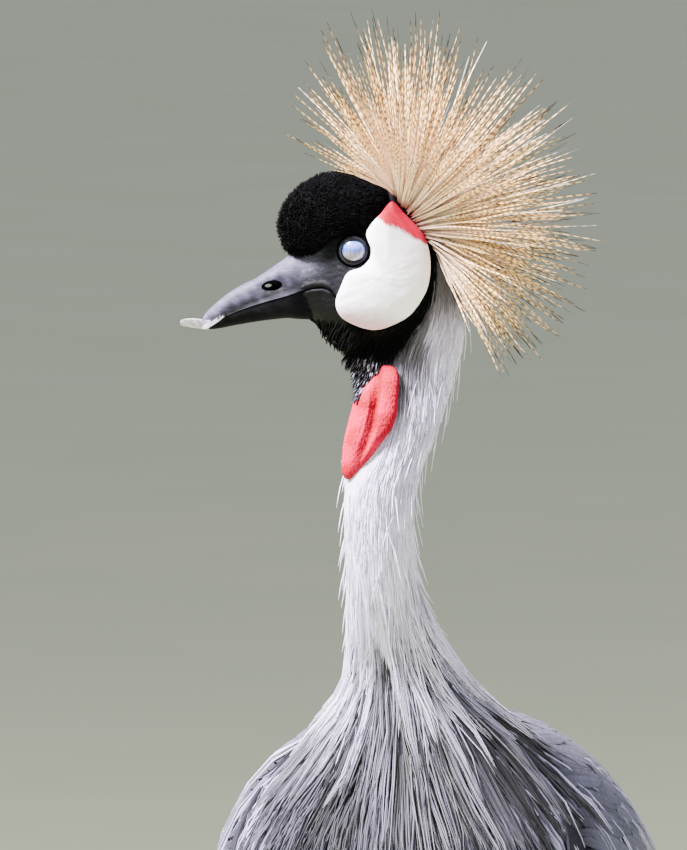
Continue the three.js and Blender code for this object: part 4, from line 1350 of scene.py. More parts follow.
# Smooth bloodless skin: light goes a little way in, so that its shadows stay soft.
CHEEK_SKIN = SkinFinish(
    "smooth_cheek_skin", 420.0, contrast=0.12, crease=1700.0, depth=0.1, roughness=0.5, bleed=1.2
)


# The flesh and the bare parts of the head.


def add_tint(obj: Object, colours: Array) -> None:
    """Gives the vertices of an object one colour or a row of colours, in linear red, green and blue."""
    values = np.ones((len(obj.data.vertices), 4))
    values[:, :3] = np.clip(colours, 0, 1)
    layer = obj.data.attributes.get("tint") or obj.data.attributes.new("tint", "FLOAT_COLOR", "POINT")
    layer.data.foreach_set("color", values.astype(np.float32).ravel())


def ripples(points: Array, pitch: float, seed: float) -> Array:
    """An uneven pattern of soft ripples about 0, one value for each point.

    Args:
        points: Where to read it, in millimetres.
        pitch: The distance from ripple to ripple.
        seed: Any number, for another pattern.

    Returns:
        Values from about -1 to 1.
    """
    k = 2 * math.pi / pitch
    x, y, z = (points + seed * 7.3).T
    value = np.sin(k * (x + 0.31 * y + 0.4 * np.sin(k * 0.37 * z)))
    value = value + np.sin(k * (0.83 * z - 0.42 * x) + 1.7 + 1.3 * np.sin(k * 0.29 * y))
    return (value + np.sin(k * (0.71 * y + 0.55 * z) + seed + np.sin(k * 0.41 * x))) / 3


@dataclass
class Skin:
    """One skin that runs without a seam from the head down the neck, over the body and down the thighs."""

    body_inset: float = 5.0
    neck_inset: float = 2.4
    voxel: float = 2.8
    bowl_reach: float = 7.2
    bowl_out: float = 7.5
    thigh_widths: tuple[tuple[float, float], ...] = ((22, 33), (25, 36), (19, 24), (11, 13), (6.4, 7))

    def thigh(self, side: Side) -> Object:
        """Models the flesh of one thigh."""
        spots = LEG.joints(side)
        line = np.array([spots["hip"], spots["knee"], spots["low"]])
        return lofted("thigh", limb_rings(line, np.array(self.thigh_widths), 24, 24))

    def carve(self, obj: Object) -> None:
        """Sinks the eye bowls and the mouth line into the head, and wrinkles its bare skin.

        Args:
            obj: The skin, in metres.
        """
        points = in_bird(obj)
        local = into_head(points)
        out, forward, up = split_head(local)
        bare = smooth(forward, 6, 12) * smooth(points[:, 2], *HEAD_FOOT)
        folds = 0.22 * ripples(local * np.array([0.5, 1, 1.4]), 3.4, 1.0) + 0.12 * ripples(local, 1.7, 2.0)
        off = up - read(MARKINGS.gape, forward)
        near = smooth(forward, 21, 25) * (1 - smooth(forward, 46, 50))
        lip = near * (0.9 * hill(off, 1.7, 1.1) - 1.5 * hill(off, 0, 0.75))
        lip = lip + near * 0.6 * hill(off, -1.6, 1.0)
        from_eye = np.hypot(forward - EYE.forward, up - EYE.up)
        rings = 0.3 * np.sin(from_eye * 2.4 + 0.8 * ripples(local, 9, 3.0)) * smooth(-from_eye, -15, -9)
        swell = bare * (folds + lip + rings * smooth(from_eye, 8.6, 9.6))
        sign = np.sign(out)
        grown = np.abs(out) + swell * smooth(np.abs(out), 2, 7)
        bowl = 1 - smooth(from_eye, self.bowl_reach, 8.4)
        in_reach = (points[:, 2] > HEAD_FOOT[0]) & (np.abs(out) > 4)
        grown = np.where(in_reach, blend(grown, np.minimum(grown, self.bowl_out), bowl), grown)
        local[:, 0] = sign * grown
        move_to(obj, head_to_row(local))

    def build(self) -> Object:
        """Models the skin from the body's egg, the neck, the head and the thighs, melted together."""
        inset = self.body_inset
        reaches = ("front", "rear", "up", "down", "side")
        body = replace(BODY, **{reach: getattr(BODY, reach) - inset for reach in reaches}).mesh("skin")
        neck = lofted("neck", neck_rings(self.neck_inset))
        head = lofted("head", from_head(oval_rings(HEAD, 40, 40)))
        thighs = [self.thigh(side) for side in Side]
        for obj in (body, neck, head, *thighs):
            move_to(obj, to_row(places(obj)))
        activate(body, neck, head, *thighs)
        bpy.ops.object.join()
        obj = bpy.context.object
        obj.name = "skin"
        apply_modifier(obj, "REMESH", mode="VOXEL", voxel_size=self.voxel * MM)
        apply_modifier(obj, "SMOOTH", factor=0.5, iterations=4)
        for reach in (4, 8):
            points = in_bird(obj)
            local = into_head(points)
            select_where(obj, (-local[:, 1] > reach) & (points[:, 2] > 818) & (local[:, 2] < 22))
            bpy.ops.mesh.subdivide(number_cuts=1, smoothness=0.6)
            close_edit()
        self.carve(obj)
        return obj

    def dress(self, obj: Object) -> None:
        """Colours the skin as its coat is, with painted shade where feathers cover it.

        Args:
            obj: The carved skin.
        """
        points = in_bird(obj)
        local = into_head(points)
        bare = smooth(-local[:, 1], 8, 13) * smooth(points[:, 2], *HEAD_FOOT)
        # Painted shade under the coat: darkest under the body's feathers, lighter up the neck, none on bare
        # skin.
        down = 0.08 + 0.77 * smooth(points[:, 2], 655, 725)
        colour = MARKINGS.colour(points) * (down + (1 - down) * bare)[:, None]
        off_eye = np.hypot(-local[:, 1] - EYE.forward, local[:, 2] - EYE.up)
        shadow = (1 - smooth(off_eye, 7.6, 10)) * bare
        add_tint(obj, colour * (1 - 0.35 * shadow)[:, None])
        nodes = ("torso", "neck_lower", "neck_upper", "head", "thigh_left", "thigh_right")
        finish_piece(obj, BARE_SKIN.build(), nodes, smooth_by=60)


@dataclass
class EyeSet:
    """Both eyes and the rings of skin round them."""

    lid_root: float = 7.7
    lid_crown: float = 6.55
    lid_high: float = 0.8

    def ball(self, side: Side) -> Object:
        """Models an eyeball with a flatter back and the map Face on what shows of it.

        Args:
            side: The side that it is made for.

        Returns:
            The new object.
        """
        deselect()
        bpy.ops.mesh.primitive_uv_sphere_add(segments=64, ring_count=40, radius=EYE.radius)
        obj = bpy.context.object
        obj.name = f"eyeball_{side.word}"
        local = places(obj)
        local[:, 2] = np.where(local[:, 2] < 0, local[:, 2] * 0.55, local[:, 2])
        bulge = 0.5 * np.exp(-((np.hypot(local[:, 0], local[:, 1]) / 3.6) ** 2))
        local[:, 2] += np.where(local[:, 2] > 0, bulge, 0)
        forward, up, out = local[:, 0] * side.value, local[:, 1], local[:, 2]
        face = np.stack([forward / (2 * EYE.radius) + 0.5, up / (2 * EYE.radius) + 0.5], axis=1)
        corners = np.empty(len(obj.data.loops), dtype=np.int32)
        obj.data.loops.foreach_get("vertex_index", corners)
        layer = obj.data.uv_layers[0]
        layer.name = "Face"
        layer.uv.foreach_set("vector", face[corners].astype(np.float32).ravel())
        placed = np.stack([side.value * (EYE.out + out), -(EYE.forward + forward), EYE.up + up], axis=1)
        move_to(obj, head_to_row(placed))
        face_outwards(obj)
        return obj

    def lid(self, side: Side) -> Object:
        """Models the ring of skin round an eye: a rolled rim inside, a fold, and an edge sunk in the face.

        Args:
            side: The side that it is made for.

        Returns:
            The new object.
        """
        around, through = 120, 22
        turn = turns(around)[:, None]
        step = turns(through)[None, :]
        rim = np.sqrt((EYE.open_long * np.cos(turn)) ** 2 + (EYE.open_high * np.sin(turn)) ** 2)
        share = 0.5 - 0.5 * np.cos(step)
        reach = rim + share * (self.lid_root - rim)
        ball = EYE.out + np.sqrt(np.maximum(EYE.radius**2 - reach**2, 0)) + 0.12
        face = 16.3 - 0.8 * share
        crown = self.lid_high * hill(reach, self.lid_crown, 0.8)
        fold = 0.3 * hill(reach, 7.7, 0.35)
        beads = 0.14 * np.sin(46 * turn + 3 * np.sin(5 * turn)) * hill(reach, self.lid_crown, 1.0)
        top = np.minimum(face + crown + fold + beads, ball + 1.5 + 0 * share)
        upper = np.where(share < 0.08, ball + 0.9, top)
        lower = np.where(reach < EYE.radius, ball - 0.5, 14.0 - 2.5 * share)
        out = np.where(np.sin(step) >= 0, upper, np.minimum(lower, upper - 0.4))
        forward = reach * np.cos(turn) + EYE.forward
        up = reach * np.sin(turn) + EYE.up
        rings = np.stack([side.value * out, -forward, up], axis=2)
        deselect()
        bpy.ops.mesh.primitive_torus_add(major_segments=around, minor_segments=through)
        obj = bpy.context.object
        obj.name = f"eyelid_{side.word}"
        move_to(obj, head_to_row(rings.reshape(-1, 3)))
        face_outwards(obj)
        apply_modifier(obj, "SMOOTH", factor=0.5, iterations=2)
        # A painted highlight: the lid is paler on the crown of its rolled rim.
        pale = hill(reach, self.lid_crown, 0.6) + 0 * step
        tint = shade("#0c0c10") + (shade("#26272e") - shade("#0c0c10")) * pale.reshape(-1, 1)
        outer = smooth(reach + 0 * step, 6.8, 7.5).reshape(-1, 1)
        add_tint(obj, blend(tint, MARKINGS.face(rings.reshape(-1, 3)), outer))
        return obj

    def dress(self) -> None:
        """Builds both eyes and their lids and gives them their finishes."""
        eye, lid = EyeFinish().build(), EYELID.build()
        for side in Side:
            finish_piece(self.ball(side), eye, (f"eye_{side.word}",), smooth_by=180)
            finish_piece(self.lid(side), lid, smooth_by=80)


@dataclass
class Bill:
    """The bill: an upper mandible with a nostril right through it, and a lower one."""

    upper: tuple[tuple[float, ...], ...] = (
        (32, 9.0, -11.2, 10.4), (38, 8.0, -12.5, 10.2), (44, 5.8, -14.6, 9.7), (50, 1.5, -16.6, 8.8),
        (57, -3.4, -18.6, 7.7), (64, -8.0, -20.8, 6.7), (71, -11.4, -23.0, 5.8), (78, -15.8, -26.0, 4.9),
        (83, -19.8, -29.6, 4.3), (87, -23.4, -32.2, 3.7), (89.4, -26.4, -32.9, 3.0), (91, -29.8, -32.7, 1.8),
    )  # forward, top, bottom and half width
    lower: tuple[tuple[float, ...], ...] = (
        (32, -12.4, -28.6, 9.8), (38, -13.2, -28.4, 9.4), (44, -15.2, -28.1, 8.9), (50, -17.2, -27.8, 8.2),
        (62, -20.8, -29.2, 6.6), (74, -24.8, -31.2, 5), (82, -28.2, -32.8, 4), (88, -29.0, -33.3, 3.3),
        (94, -28.2, -32.6, 2.6), (99, -28.4, -31.8, 2.1), (101.2, -29.2, -31.2, 1.2),
    )
    nostril: tuple[float, float] = (56, -11.4)
    nostril_size: tuple[float, float] = (5.2, 2.6)
    nostril_tilt: float = 8

    def mandible(self, name: str, stations: tuple[tuple[float, ...], ...], dome_up: bool) -> Object:
        """Models one mandible: a rounded ridge on one side, a sharp-edged hollow on the other.

        Args:
            name: The object's name.
            stations: Its outline from root to tip.
            dome_up: Whether its ridge is on top, as the upper one's is.

        Returns:
            The new object.
        """
        levels, sides = 120, 60
        forward, top, bottom, wide = curve(np.array(stations), np.linspace(0, 1, levels)).T
        ridge, flat = (top, bottom) if dome_up else (bottom, top)
        angle = turns(sides)
        sine, cosine = np.sin(angle), np.cos(angle)
        height = np.where(sine > 0, np.abs(sine) ** 0.8, -0.1 * (1 - np.abs(cosine) ** 6))
        lip = 1 + 0.05 * hill(sine, 0, 0.2)
        out = np.outer(wide, np.sign(cosine) * np.abs(cosine) ** 0.92 * lip)
        up = flat[:, None] + (ridge - flat)[:, None] * np.abs(height)
        if dome_up:
            along = (forward[:, None] - self.nostril[0]) / 11
            above = (up - (self.nostril[1] - 0.2 * (forward[:, None] - self.nostril[0]))) / 3.6
            out = out * (1 - 0.16 * np.exp(-(along**2) - above**2))
        rings = np.stack([out, np.repeat(-forward[:, None], sides, 1), up], axis=2)
        return lofted(name, rings)

    def tunnel(self) -> Object:
        """Models the hollow of the nostril: deep from both sides, with a small hole between the two."""
        half = ((1.0, 0.32), (1.4, 0.85), (2.0, 1.0), (15, 1.0))  # how far out, and the hollow's size there
        tilt, turn = math.radians(self.nostril_tilt), turns(40)
        rings = []
        for out, size in (*((-out, size) for out, size in half[::-1]), *half):
            along = self.nostril_size[0] * (size * np.cos(turn) + 0.6 * (1 - size))
            high = self.nostril_size[1] * size * np.sin(turn)
            forward = self.nostril[0] + along * math.cos(tilt) + high * math.sin(tilt)
            up = self.nostril[1] - along * math.sin(tilt) + high * math.cos(tilt)
            rings.append(np.stack([np.full(40, float(out)), -forward, up], axis=1))
        return lofted("nostril", np.array(rings))

    def colours(self, local: Array, upper: bool) -> Array:
        """The horn's colour at places of the head's own frame: painted highlight high and shade low, painted
        shade in the nostril, chipped pale tips.

        Args:
            local: The places.
            upper: Whether they lie on the upper mandible.

        Returns:
            One colour for each place.
        """
        _, forward, up = split_head(local)
        stations = np.array(self.upper if upper else self.lower)
        top = np.interp(forward, stations[:, 0], stations[:, 1])
        bottom = np.interp(forward, stations[:, 0], stations[:, 2])
        high = np.clip((up - bottom) / np.maximum(top - bottom, 0.5), 0, 1)[:, None]
        rough = ripples(local, 5, 4.0)[:, None]
        # Both mandibles are painted lighter higher up and darker below, as painted highlight and shade.
        if upper:
            low, ridge = shade("#17171c"), shade("#55536a")
            tone = low + (ridge - low) * smooth(high + 0.14 * rough, 0.14, 0.85)
            along, above = forward - self.nostril[0], up - self.nostril[1]
            # Painted shade in the groove round the nostril.
            slot = np.hypot(along / 9, (above + 0.2 * along) / 4.4)
            tone = tone * (1 - 0.4 * hill(slot, 0, 1))[:, None]
            # A painted highlight along the upper's cutting edge.
            lip = hill(high, 0.05, 0.045) * smooth(-forward, -74, -62)[:, None]
            tone = blend(tone, shade("#78768a"), lip)
            # Painted shade inside the nostril's hole.
            inside = np.hypot(along / 5.3, (above + 0.14 * along) / 2.6)
            tone = tone * (1 - 0.8 * (inside < 1) * (np.abs(local[:, 0]) < 6.6))[:, None]
            chips = 1.1 * ripples(local, 3.4, 4.0) + 0.6 * ripples(local, 1.6, 2.0)
            below = -26.2 - 0.3 * (forward - 78) - up + chips
            tip = (smooth(below, 0, 0.5) * smooth(forward + 2 * chips, 77, 78.5))[:, None]
        else:
            low, ridge = shade("#0f0f12"), shade("#1c1c22")
            tone = low + (ridge - low) * smooth(high + 0.2 * rough, 0.4, 1.0)
            tip = smooth(forward + 1.2 * rough[:, 0], 86.5, 88)[:, None]
        skin = smooth(-forward, -50, -40)[:, None]
        tone = blend(tone * (0.9 + 0.14 * rough), MARKINGS.face(local), skin)
        horn = shade("#b4afbb") * (0.84 + 0.24 * ripples(local, 2.2, 6.0))[:, None]
        return blend(tone, horn, tip)

    def dress(self) -> None:
        """Builds both mandibles and gives them their horn."""
        for name, stations, dome_up in (("bill_upper", self.upper, True), ("bill_lower", self.lower, False)):
            horn = (BILL_HORN if dome_up else JAW_HORN).build()
            obj = self.mandible(f"{name}_horn", stations, dome_up)
            if dome_up:
                rod = self.tunnel()
                apply_modifier(obj, "BOOLEAN", operation="DIFFERENCE", object=rod, solver="EXACT")
                bpy.data.objects.remove(rod, do_unlink=True)
                edit(obj)
                bpy.ops.mesh.quads_convert_to_tris()
                close_edit()
            local = places(obj)
            add_tint(obj, self.colours(local, dome_up))
            move_to(obj, head_to_row(local))
            finish_piece(obj, horn, (name,), smooth_by=50)


@dataclass
class Cheeks:
    """The bare patch on each cheek: a padded white lobe with a red crown."""

    outline: tuple[tuple[float, float], ...] = (
        (-3, 30.6), (-9, 25), (-17.5, 16), (-20.6, 9.5), (-22, 0), (-21, -10), (-17.8, -17.4), (-12, -25),
        (-4, -29.8), (4, -32.3), (11.3, -31.4), (19.4, -27.9), (23.2, -24), (24.4, -18.5), (22.2, -12),
        (18.6, -4.5), (12, -1.6), (7.8, 2.6), (7.2, 8), (9.4, 14.6), (6.6, 20), (2.4, 24.6),
    )
    middle: tuple[float, float] = (0, -6)
    profile: tuple[tuple[float, float], ...] = (
        (6, 0.97), (12, 0.985), (16.6, 1.0), (18.6, 0.985), (20.1, 0.93), (21.4, 0.82), (22.6, 0.62),
        (23.3, 0.4), (23.8, 0.18), (23.9, 0.03),
    )  # how far out each ring of the pad lies, and its size
    red_line: tuple[tuple[float, float], ...] = (
        (-30, 2), (-21, 9), (-15.7, 12.2), (-10.3, 14.9), (-5.4, 18.4), (-1, 19.2), (4.5, 22.4), (9, 24),
    )

    def patch(self, side: Side) -> Object:
        """Models the patch of one side.

        Args:
            side: The side that it is made for.

        Returns:
            The new object.
        """
        around, levels = 160, 44
        loop = np.array(self.outline[-2:] + self.outline + self.outline[:2])
        shares = (2 + np.linspace(0, len(self.outline), around, endpoint=False)) / (len(loop) - 1)
        rim = curve(loop, shares)
        out, scale = curve(np.array(self.profile), np.linspace(0, 1, levels)).T
        flat = np.array(self.middle) + (rim - np.array(self.middle)) * scale[:, None, None]
        forward, up = flat[..., 0], flat[..., 1]
        line = read(self.red_line, forward)
        swell = 0.9 * np.exp(-(((forward - 4) / 11) ** 2) - (((up + 19) / 9) ** 2))
        seam = -0.5 * hill(up, line, 1.0)
        crease = -0.45 * hill(up + 0.35 * forward, -10, 1.6) * smooth(forward, 8, 17)
        local = np.stack([np.zeros_like(up), -forward, up], axis=2).reshape(-1, 3)
        grain = 0.12 * ripples(local, 2.4, 5.0) + 0.16 * ripples(local, 6.5, 6.0)
        on_face = smooth(out, 17, 21)[:, None]
        outward = out[:, None] + on_face * (swell + seam + crease + grain.reshape(up.shape))
        rings = np.stack([side.value * outward, -forward, up], axis=2)
        obj = lofted(f"cheek_patch_{side.word}", rings)
        local = places(obj)
        _, forward, up = split_head(local)
        wave = 0.7 * ripples(np.stack([forward, up, 0 * up], axis=1), 5.5, 7.0)
        red = smooth(up - read(self.red_line, forward) + wave, -0.5, 0.7)[:, None]
        # Pinker and darker towards the bottom: partly the skin's own pink, partly painted shade under the
        # pad.
        low = smooth(-up + 0.25 * forward, 19, 34)[:, None]
        rim_share = smooth(-np.abs(local[:, 0]), -19.2, -15.5)[:, None]
        white = blend(shade("#f8f2ff"), shade("#bf98a8"), low)
        white = blend(white, shade("#d9a9b4"), 0.3 * rim_share * (1 - low))
        rosy = shade("#c00c3a") * (1 + 0.1 * ripples(local, 3.0, 8.0))[:, None]
        add_tint(obj, blend(white, rosy, red))
        move_to(obj, head_to_row(local))
        return obj

    def dress(self) -> None:
        """Builds both patches and gives them their skin."""
        skin = CHEEK_SKIN.build()
        for side in Side:
            nodes = (f"cheek_{side.word}", f"cheek_red_{side.word}")
            finish_piece(self.patch(side), skin, nodes, smooth_by=180)


@dataclass
class Wattle:
    """The red throat wattle: two lobes with a deep fold between them, finely beaded."""

    stations: tuple[tuple[float, ...], ...] = (
        (-50, -0.6, 2.2, 13.6, 1.2), (-51.4, -0.6, 4.4, 14.6, 2.6), (-54, -0.6, 5.6, 15.8, 3.8),
        (-58, 0.6, 7.2, 17.4, 4.8), (-65, 4.0, 10.4, 19.4, 5.4), (-72, 5.4, 11.4, 20.6, 5.8),
        (-80, 7.8, 11.1, 21.8, 6.0), (-87, 11.0, 9.4, 22.4, 5.9), (-95, 14.3, 6.9, 22.4, 5.2),
        (-101, 16.9, 4.4, 21.8, 4.2), (-104, 17.8, 2.6, 21.5, 2.8), (-105.4, 18, 0.9, 21.4, 1.0),
    )  # up, forward, half width, out, half thickness
    fold_line: tuple[tuple[float, float], ...] = (
        (-110, 15), (-100, 13.5), (-96.2, 12.4), (-89.7, 9.5), (-80.3, 5.9), (-66.7, 3.5), (-53.8, 3.4),
        (-45, 2),
    )  # the fold's height and place forward
    wrap: float = 0.42
    fold: float = 3.8

    def dress(self) -> Object:
        """Models the wattle in the head's own frame, gives it its skin and returns it."""
        levels, sides = 170, 130
        up, middle, wide, out, thick = curve(np.array(self.stations), np.linspace(0, 1, levels)).T
        angle = -2 * np.pi * np.arange(sides) / sides
        across = np.outer(wide, np.cos(angle))
        forward = middle[:, None] + across
        outer = smooth(np.sin(angle), -0.1, 0.5)[None, :]
        off = forward - read(self.fold_line, up)[:, None]
        depth = (smooth(up, -103, -88) * (0.45 + 0.55 * smooth(up, -97, -74)))[:, None]
        valley = np.where(off > 0, hill(off, 0, 3.2), hill(off, 0, 1.1)) * depth
        pleats = np.clip(np.sin(off * 2.6 + 0.6 * np.sin(up / 3)[:, None]), 0, 1)
        pleats = pleats * smooth(off, 0.6, 2.2) * (1 - smooth(off, 6.5, 9)) * smooth(up, -94, -84)[:, None]
        height = np.outer(thick, np.sin(angle)) - outer * (self.fold * valley + 0.35 * pleats * depth)
        outward = out[:, None] - self.wrap * across + height
        rings = np.stack([outward, -forward, np.repeat(up[:, None], sides, 1)], axis=2)
        obj = lofted("wattle_lobes", rings)
        local = places(obj)
        beads = ripples(local * np.array([1, 1.0, 0.7]), 1.9, 9.0)
        local[:, 0] += 0.09 * beads + 0.2 * ripples(local, 8, 3.0)
        off = -local[:, 1] - read(self.fold_line, local[:, 2])
        # Painted shade: darker along the fold between the lobes; the colour also darkens towards the bottom
        # tip.
        deep = np.where(off > 0, hill(off, 0, 3.0), hill(off, 0, 1.2)) * smooth(local[:, 2], -102, -90)
        deep = np.maximum(0.75 * deep, 0.55 * smooth(-local[:, 2], 96, 104))[:, None]
        # Paler in broad random patches, and paler forward of the fold as painted light on the front lobe.
        pale = smooth(ripples(local, 14, 5.0) + 0.05 * (off + 4), -0.2, 0.9)[:, None]
        tone = blend(shade("#a4002a"), shade("#c80646"), pale)
        # Raised beads are painted lighter than the hollows between them, as painted highlight and shade.
        tone = blend(tone, shade("#80001a"), deep) * (0.93 + 0.1 * beads)[:, None]
        move_to(obj, head_to_row(local))
        add_tint(obj, tone)
        finish_piece(obj, WattleFinish().build(), ("wattle",), smooth_by=180)
        return obj


# The coat, from the cap down to the thighs.


def spread_out(
    roots: Array, normals: Array, strands: int, width: float, random: np.random.Generator
) -> tuple[Array, Array]:
    """Sets several strands round each root, as a feather's loose barbs lie.

    Args:
        roots: The roots.
        normals: The way that the surface looks there.
        strands: How many strands each root has.
        width: How far they stand from the root, at most.
        random: The random draw.

    Returns:
        The strands' own roots and the way that the surface looks there.
    """
    roots, normals = np.repeat(roots, strands, 0), np.repeat(normals, strands, 0)
    aside = np.cross(normals, random.standard_normal(roots.shape))
    return roots + width * (random.random((len(roots), 1)) ** 0.5) * unit(aside), normals


@dataclass
class VelvetCap:
    """The black velvet cushion on forehead and crown: a dense pile of short upright feathers."""

    pad: Egg = Egg(forward=25.5, height=20.2, pitch=-20, front=29, rear=30, up=24, down=22, side=18.5)
    edge: tuple[tuple[float, float], ...] = (
        (-30, 44), (-8, 33), (-2, 30.9), (1.5, 27.9), (4.9, 22.5), (9.8, 17), (16.7, 14.6), (22, 12.9),
        (27.4, 10.3), (32, 6.4), (35.8, 3.2), (41, 1.0), (46, 0.6), (50, 1.2), (54, 6), (57, 14),
    )  # its lower edge over the eye and the bill, forward and up
    spacing: float = 0.66
    length: float = 2.3

    def under(self, points: Array) -> Array:
        """How far places of the head's own frame lie below the cap's lower edge."""
        return read(self.edge, -points[:, 1]) - points[:, 2]

    def dress(self) -> None:
        """Builds the cushion and its pile."""
        base = self.pad.mesh("velvet_cushion", 96, 64)
        local = places(base)
        lumps = 0.5 * ripples(local, 9, 2.0) + 0.3 * ripples(local, 4, 5.0)
        middle = self.pad.centre
        local = middle + (local - middle) * (1 + (lumps - 1.6) / 24)[:, None]
        tuck = smooth(self.under(local), -3.0, 2.5)
        local[:, 0] *= 1 - 0.5 * tuck
        local[:, 2] += 3.0 * tuck
        move_to(base, head_to_row(local))
        add_tint(base, shade("#020203"))
        carrier = Carrier(base)
        roots, normals = carrier.roots(self.spacing, lambda p: self.under(into_head(p)) < 0.6, 3)
        random = np.random.default_rng(4)
        count = len(roots)
        back = turn_head(np.tile([0.0, 0.55, 0.1], (count, 1)))
        lean = unit(normals + 0.5 * back + 0.3 * (random.random((count, 3)) - 0.5))
        bend = unit(lean + 0.5 * back)
        length = (self.length * (0.75 + 0.4 * random.random(count)))[:, None]
        length = length * (1 - 0.45 * smooth(-np.abs(self.under(into_head(roots)))[:, None], -3, 0))
        paths = np.stack([roots - 0.4 * normals, roots + 0.5 * length * lean, roots + length * bend], axis=1)
        tone = shade("#060608") * (0.5 + 0.9 * random.random((count, 1)))
        batch = Batch(
            paths,
            np.repeat(unit(np.cross(lean, random.random((count, 3)) - 0.5))[:, None], 3, 1),
            0.34 + 0.1 * random.random(count),
            0.3 + 0 * length[:, 0],
            np.concatenate([tone, random.random((count, 1))], axis=1),
            unwrap(roots),
        )
        tuft = blade_template([(0, 0.9), (0.4, 1), (0.75, 0.6), (1, 0.08)])
        pile = lay("velvet_pile", tuft, batch)
        finish_piece(base, VELVET_GROUND.build(), ("velvet_cap",))
        finish_piece(pile, VELVET_PILE.build(), smooth_by=180)


@dataclass
class Crest:
    """The crown of stiff bristles that spread like a brush from a pad on the back of the crown."""

    pad: Egg = Egg(forward=-14, height=22, pitch=53, front=20, rear=21, up=7, down=9, side=11)
    count: int = 880
    first: float = 50
    last: float = 243
    spread: float = 56
    wrap: float = 108  # degrees round the pad's own axis that its roots reach to each side
    lengths: tuple[tuple[float, float], ...] = ((0, 76), (0.12, 93), (0.3, 93), (0.6, 87), (1, 79))
    reach: float = 19
    half: float = 0.42

    def dress(self) -> None:
        """Builds the pad and the bristles, in the head's own frame."""
        base = self.pad.mesh("crest_pad", 48, 32)
        local = self.pad.centre + (places(base) - self.pad.centre) * 0.97
        move_to(base, head_to_row(local))
        add_tint(base, shade("#141317"))
        finish_piece(base, CREST_DOWN.build(), ("crest",))

        random = np.random.default_rng(7)
        n = self.count
        share = np.clip((np.arange(n) + 0.5) / n + 0.02 * (random.random(n) - 0.5), 0, 1)
        swing = 2 * ((np.arange(n) * (3 - math.sqrt(5)) / 2) % 1) - 1
        swing = swing + 0.1 * (random.random(n) - 0.5)
        turn = self.first + (self.last - self.first) * share + 9 * (random.random(n) - 0.5)
        foremost = smooth(-share, -0.2, 0)
        turn = np.radians(turn - 10 * foremost * random.random(n) ** 2 - 34 * foremost * np.abs(swing) ** 2)
        lean = np.radians(self.spread * swing + 7 * (random.random(n) - 0.5))
        heading = np.stack([np.sin(lean), -np.cos(turn) * np.cos(lean), np.sin(turn) * np.cos(lean)], axis=1)
        length = read(self.lengths, share) * (0.42 + 0.58 * random.random(n) ** 0.75)
        bearing = np.radians(self.wrap * swing)
        girth = np.sqrt(np.clip(1 - (0.93 * (1 - 2 * share)) ** 2, 0.05, 1)) * 0.85
        high = np.where(np.cos(bearing) > 0, self.pad.up, self.pad.down)
        aside, above = self.pad.side * girth * np.sin(bearing), high * girth * np.cos(bearing)
        start = self.pad.world(self.reach * (1 - 2 * share), aside, above)
        wide = unit(np.cross(heading, random.random((n, 3)) - 0.5))
        bow = (5.0 * (random.random(n) - 0.5) * length / 60)[:, None]
        steps = np.linspace(0, 1, 6)
        bows = [wide * bow * math.sin(math.pi * s) for s in steps]
        paths = np.stack([start + heading * length[:, None] * s + b for s, b in zip(steps, bows)], axis=1)
        faces = np.repeat(np.cross(wide, heading)[:, None], len(steps), 1)
        tone = np.repeat(0.62 + 0.38 * random.random((n, 1)), 3, 1)
        batch = Batch(
            from_head(paths.reshape(-1, 3)).reshape(paths.shape),
            turn_head(faces.reshape(-1, 3)).reshape(faces.shape),
            self.half * (0.8 + 0.4 * random.random(n)),
            self.half * 1.6 * np.ones(n),
            np.concatenate([tone, random.random((n, 1))], axis=1),
            unwrap(from_head(start)),
        )
        marks = np.linspace(0, 1, 15)
        profile = [(float(s), float((1.25 if k % 2 else 0.8) * (1 - 0.62 * s))) for k, s in enumerate(marks)]
        bristle = blade_template(profile)
        piece = lay("crest_bristles", bristle, batch)
        finish_piece(piece, BristleFinish().build(), ("crest",), smooth_by=30)


@dataclass(frozen=True)
class PlumeLayer:
    """One layer of long plumes: where its locks grow and what they are like."""

    word: str
    low: float  # the heights that it grows between
    high: float
    spacing: float
    reach: float  # its longest plumes
    strands: int  # strands in a lock
    half: float
    lift: float  # how far the highest locks stand off
    light: float  # how light its locks are that don't lie in shade: low for the layers under the neck's cloak, as painted shade, high on the shoulders, as painted light
    shaded: float  # the share of its locks that lie in shade

    @property
    def nodes(self) -> tuple[str, ...]:
        """The solids that it stands for."""
        if self.on_wing:
            return ("wing_left", "wing_right")
        return ("torso" if "breast" in self.word else "neck_lower",)

    @property
    def on_wing(self) -> bool:
        """Whether it grows on the shoulders, over the wings."""
        return self.word == "shoulder"

    def grows(self, p: Array) -> Array:
        """At which places it grows."""
        in_band = (p[:, 2] > self.low) & (p[:, 2] < self.high)
        if self.on_wing:
            return in_band & ((p - BODY.centre) @ BODY.axis > -48) & (np.abs(p[:, 0]) > 42)
        rear = np.interp(p[:, 2], [470, 560, 640, 660], [0.15, 0.3, -0.15, -9])
        return in_band & (BODY.scaled(p)[:, 0] > rear)


PLUMES = (
    PlumeLayer("breast", 470, 560, 7.0, 60, 6, 0.85, 1.2, 0.6, 0.4),
    PlumeLayer("breast_upper", 545, 630, 6.2, 84, 6, 0.75, 2.6, 0.26, 0.5),
    PlumeLayer("shoulder", 520, 690, 6.0, 92, 6, 0.72, 4.4, 1.6, 0.26),
    PlumeLayer("mantle_lower", 604, 660, 5.6, 105, 7, 0.6, 4.0, 0.2, 0.6),
    PlumeLayer("mantle_middle", 645, 695, 6.4, 104, 7, 0.5, 5.0, 0.36, 0.68),
    PlumeLayer("mantle_upper", 680, 735, 5.6, 86, 6, 0.42, 4.4, 0.92, 0.24),
)


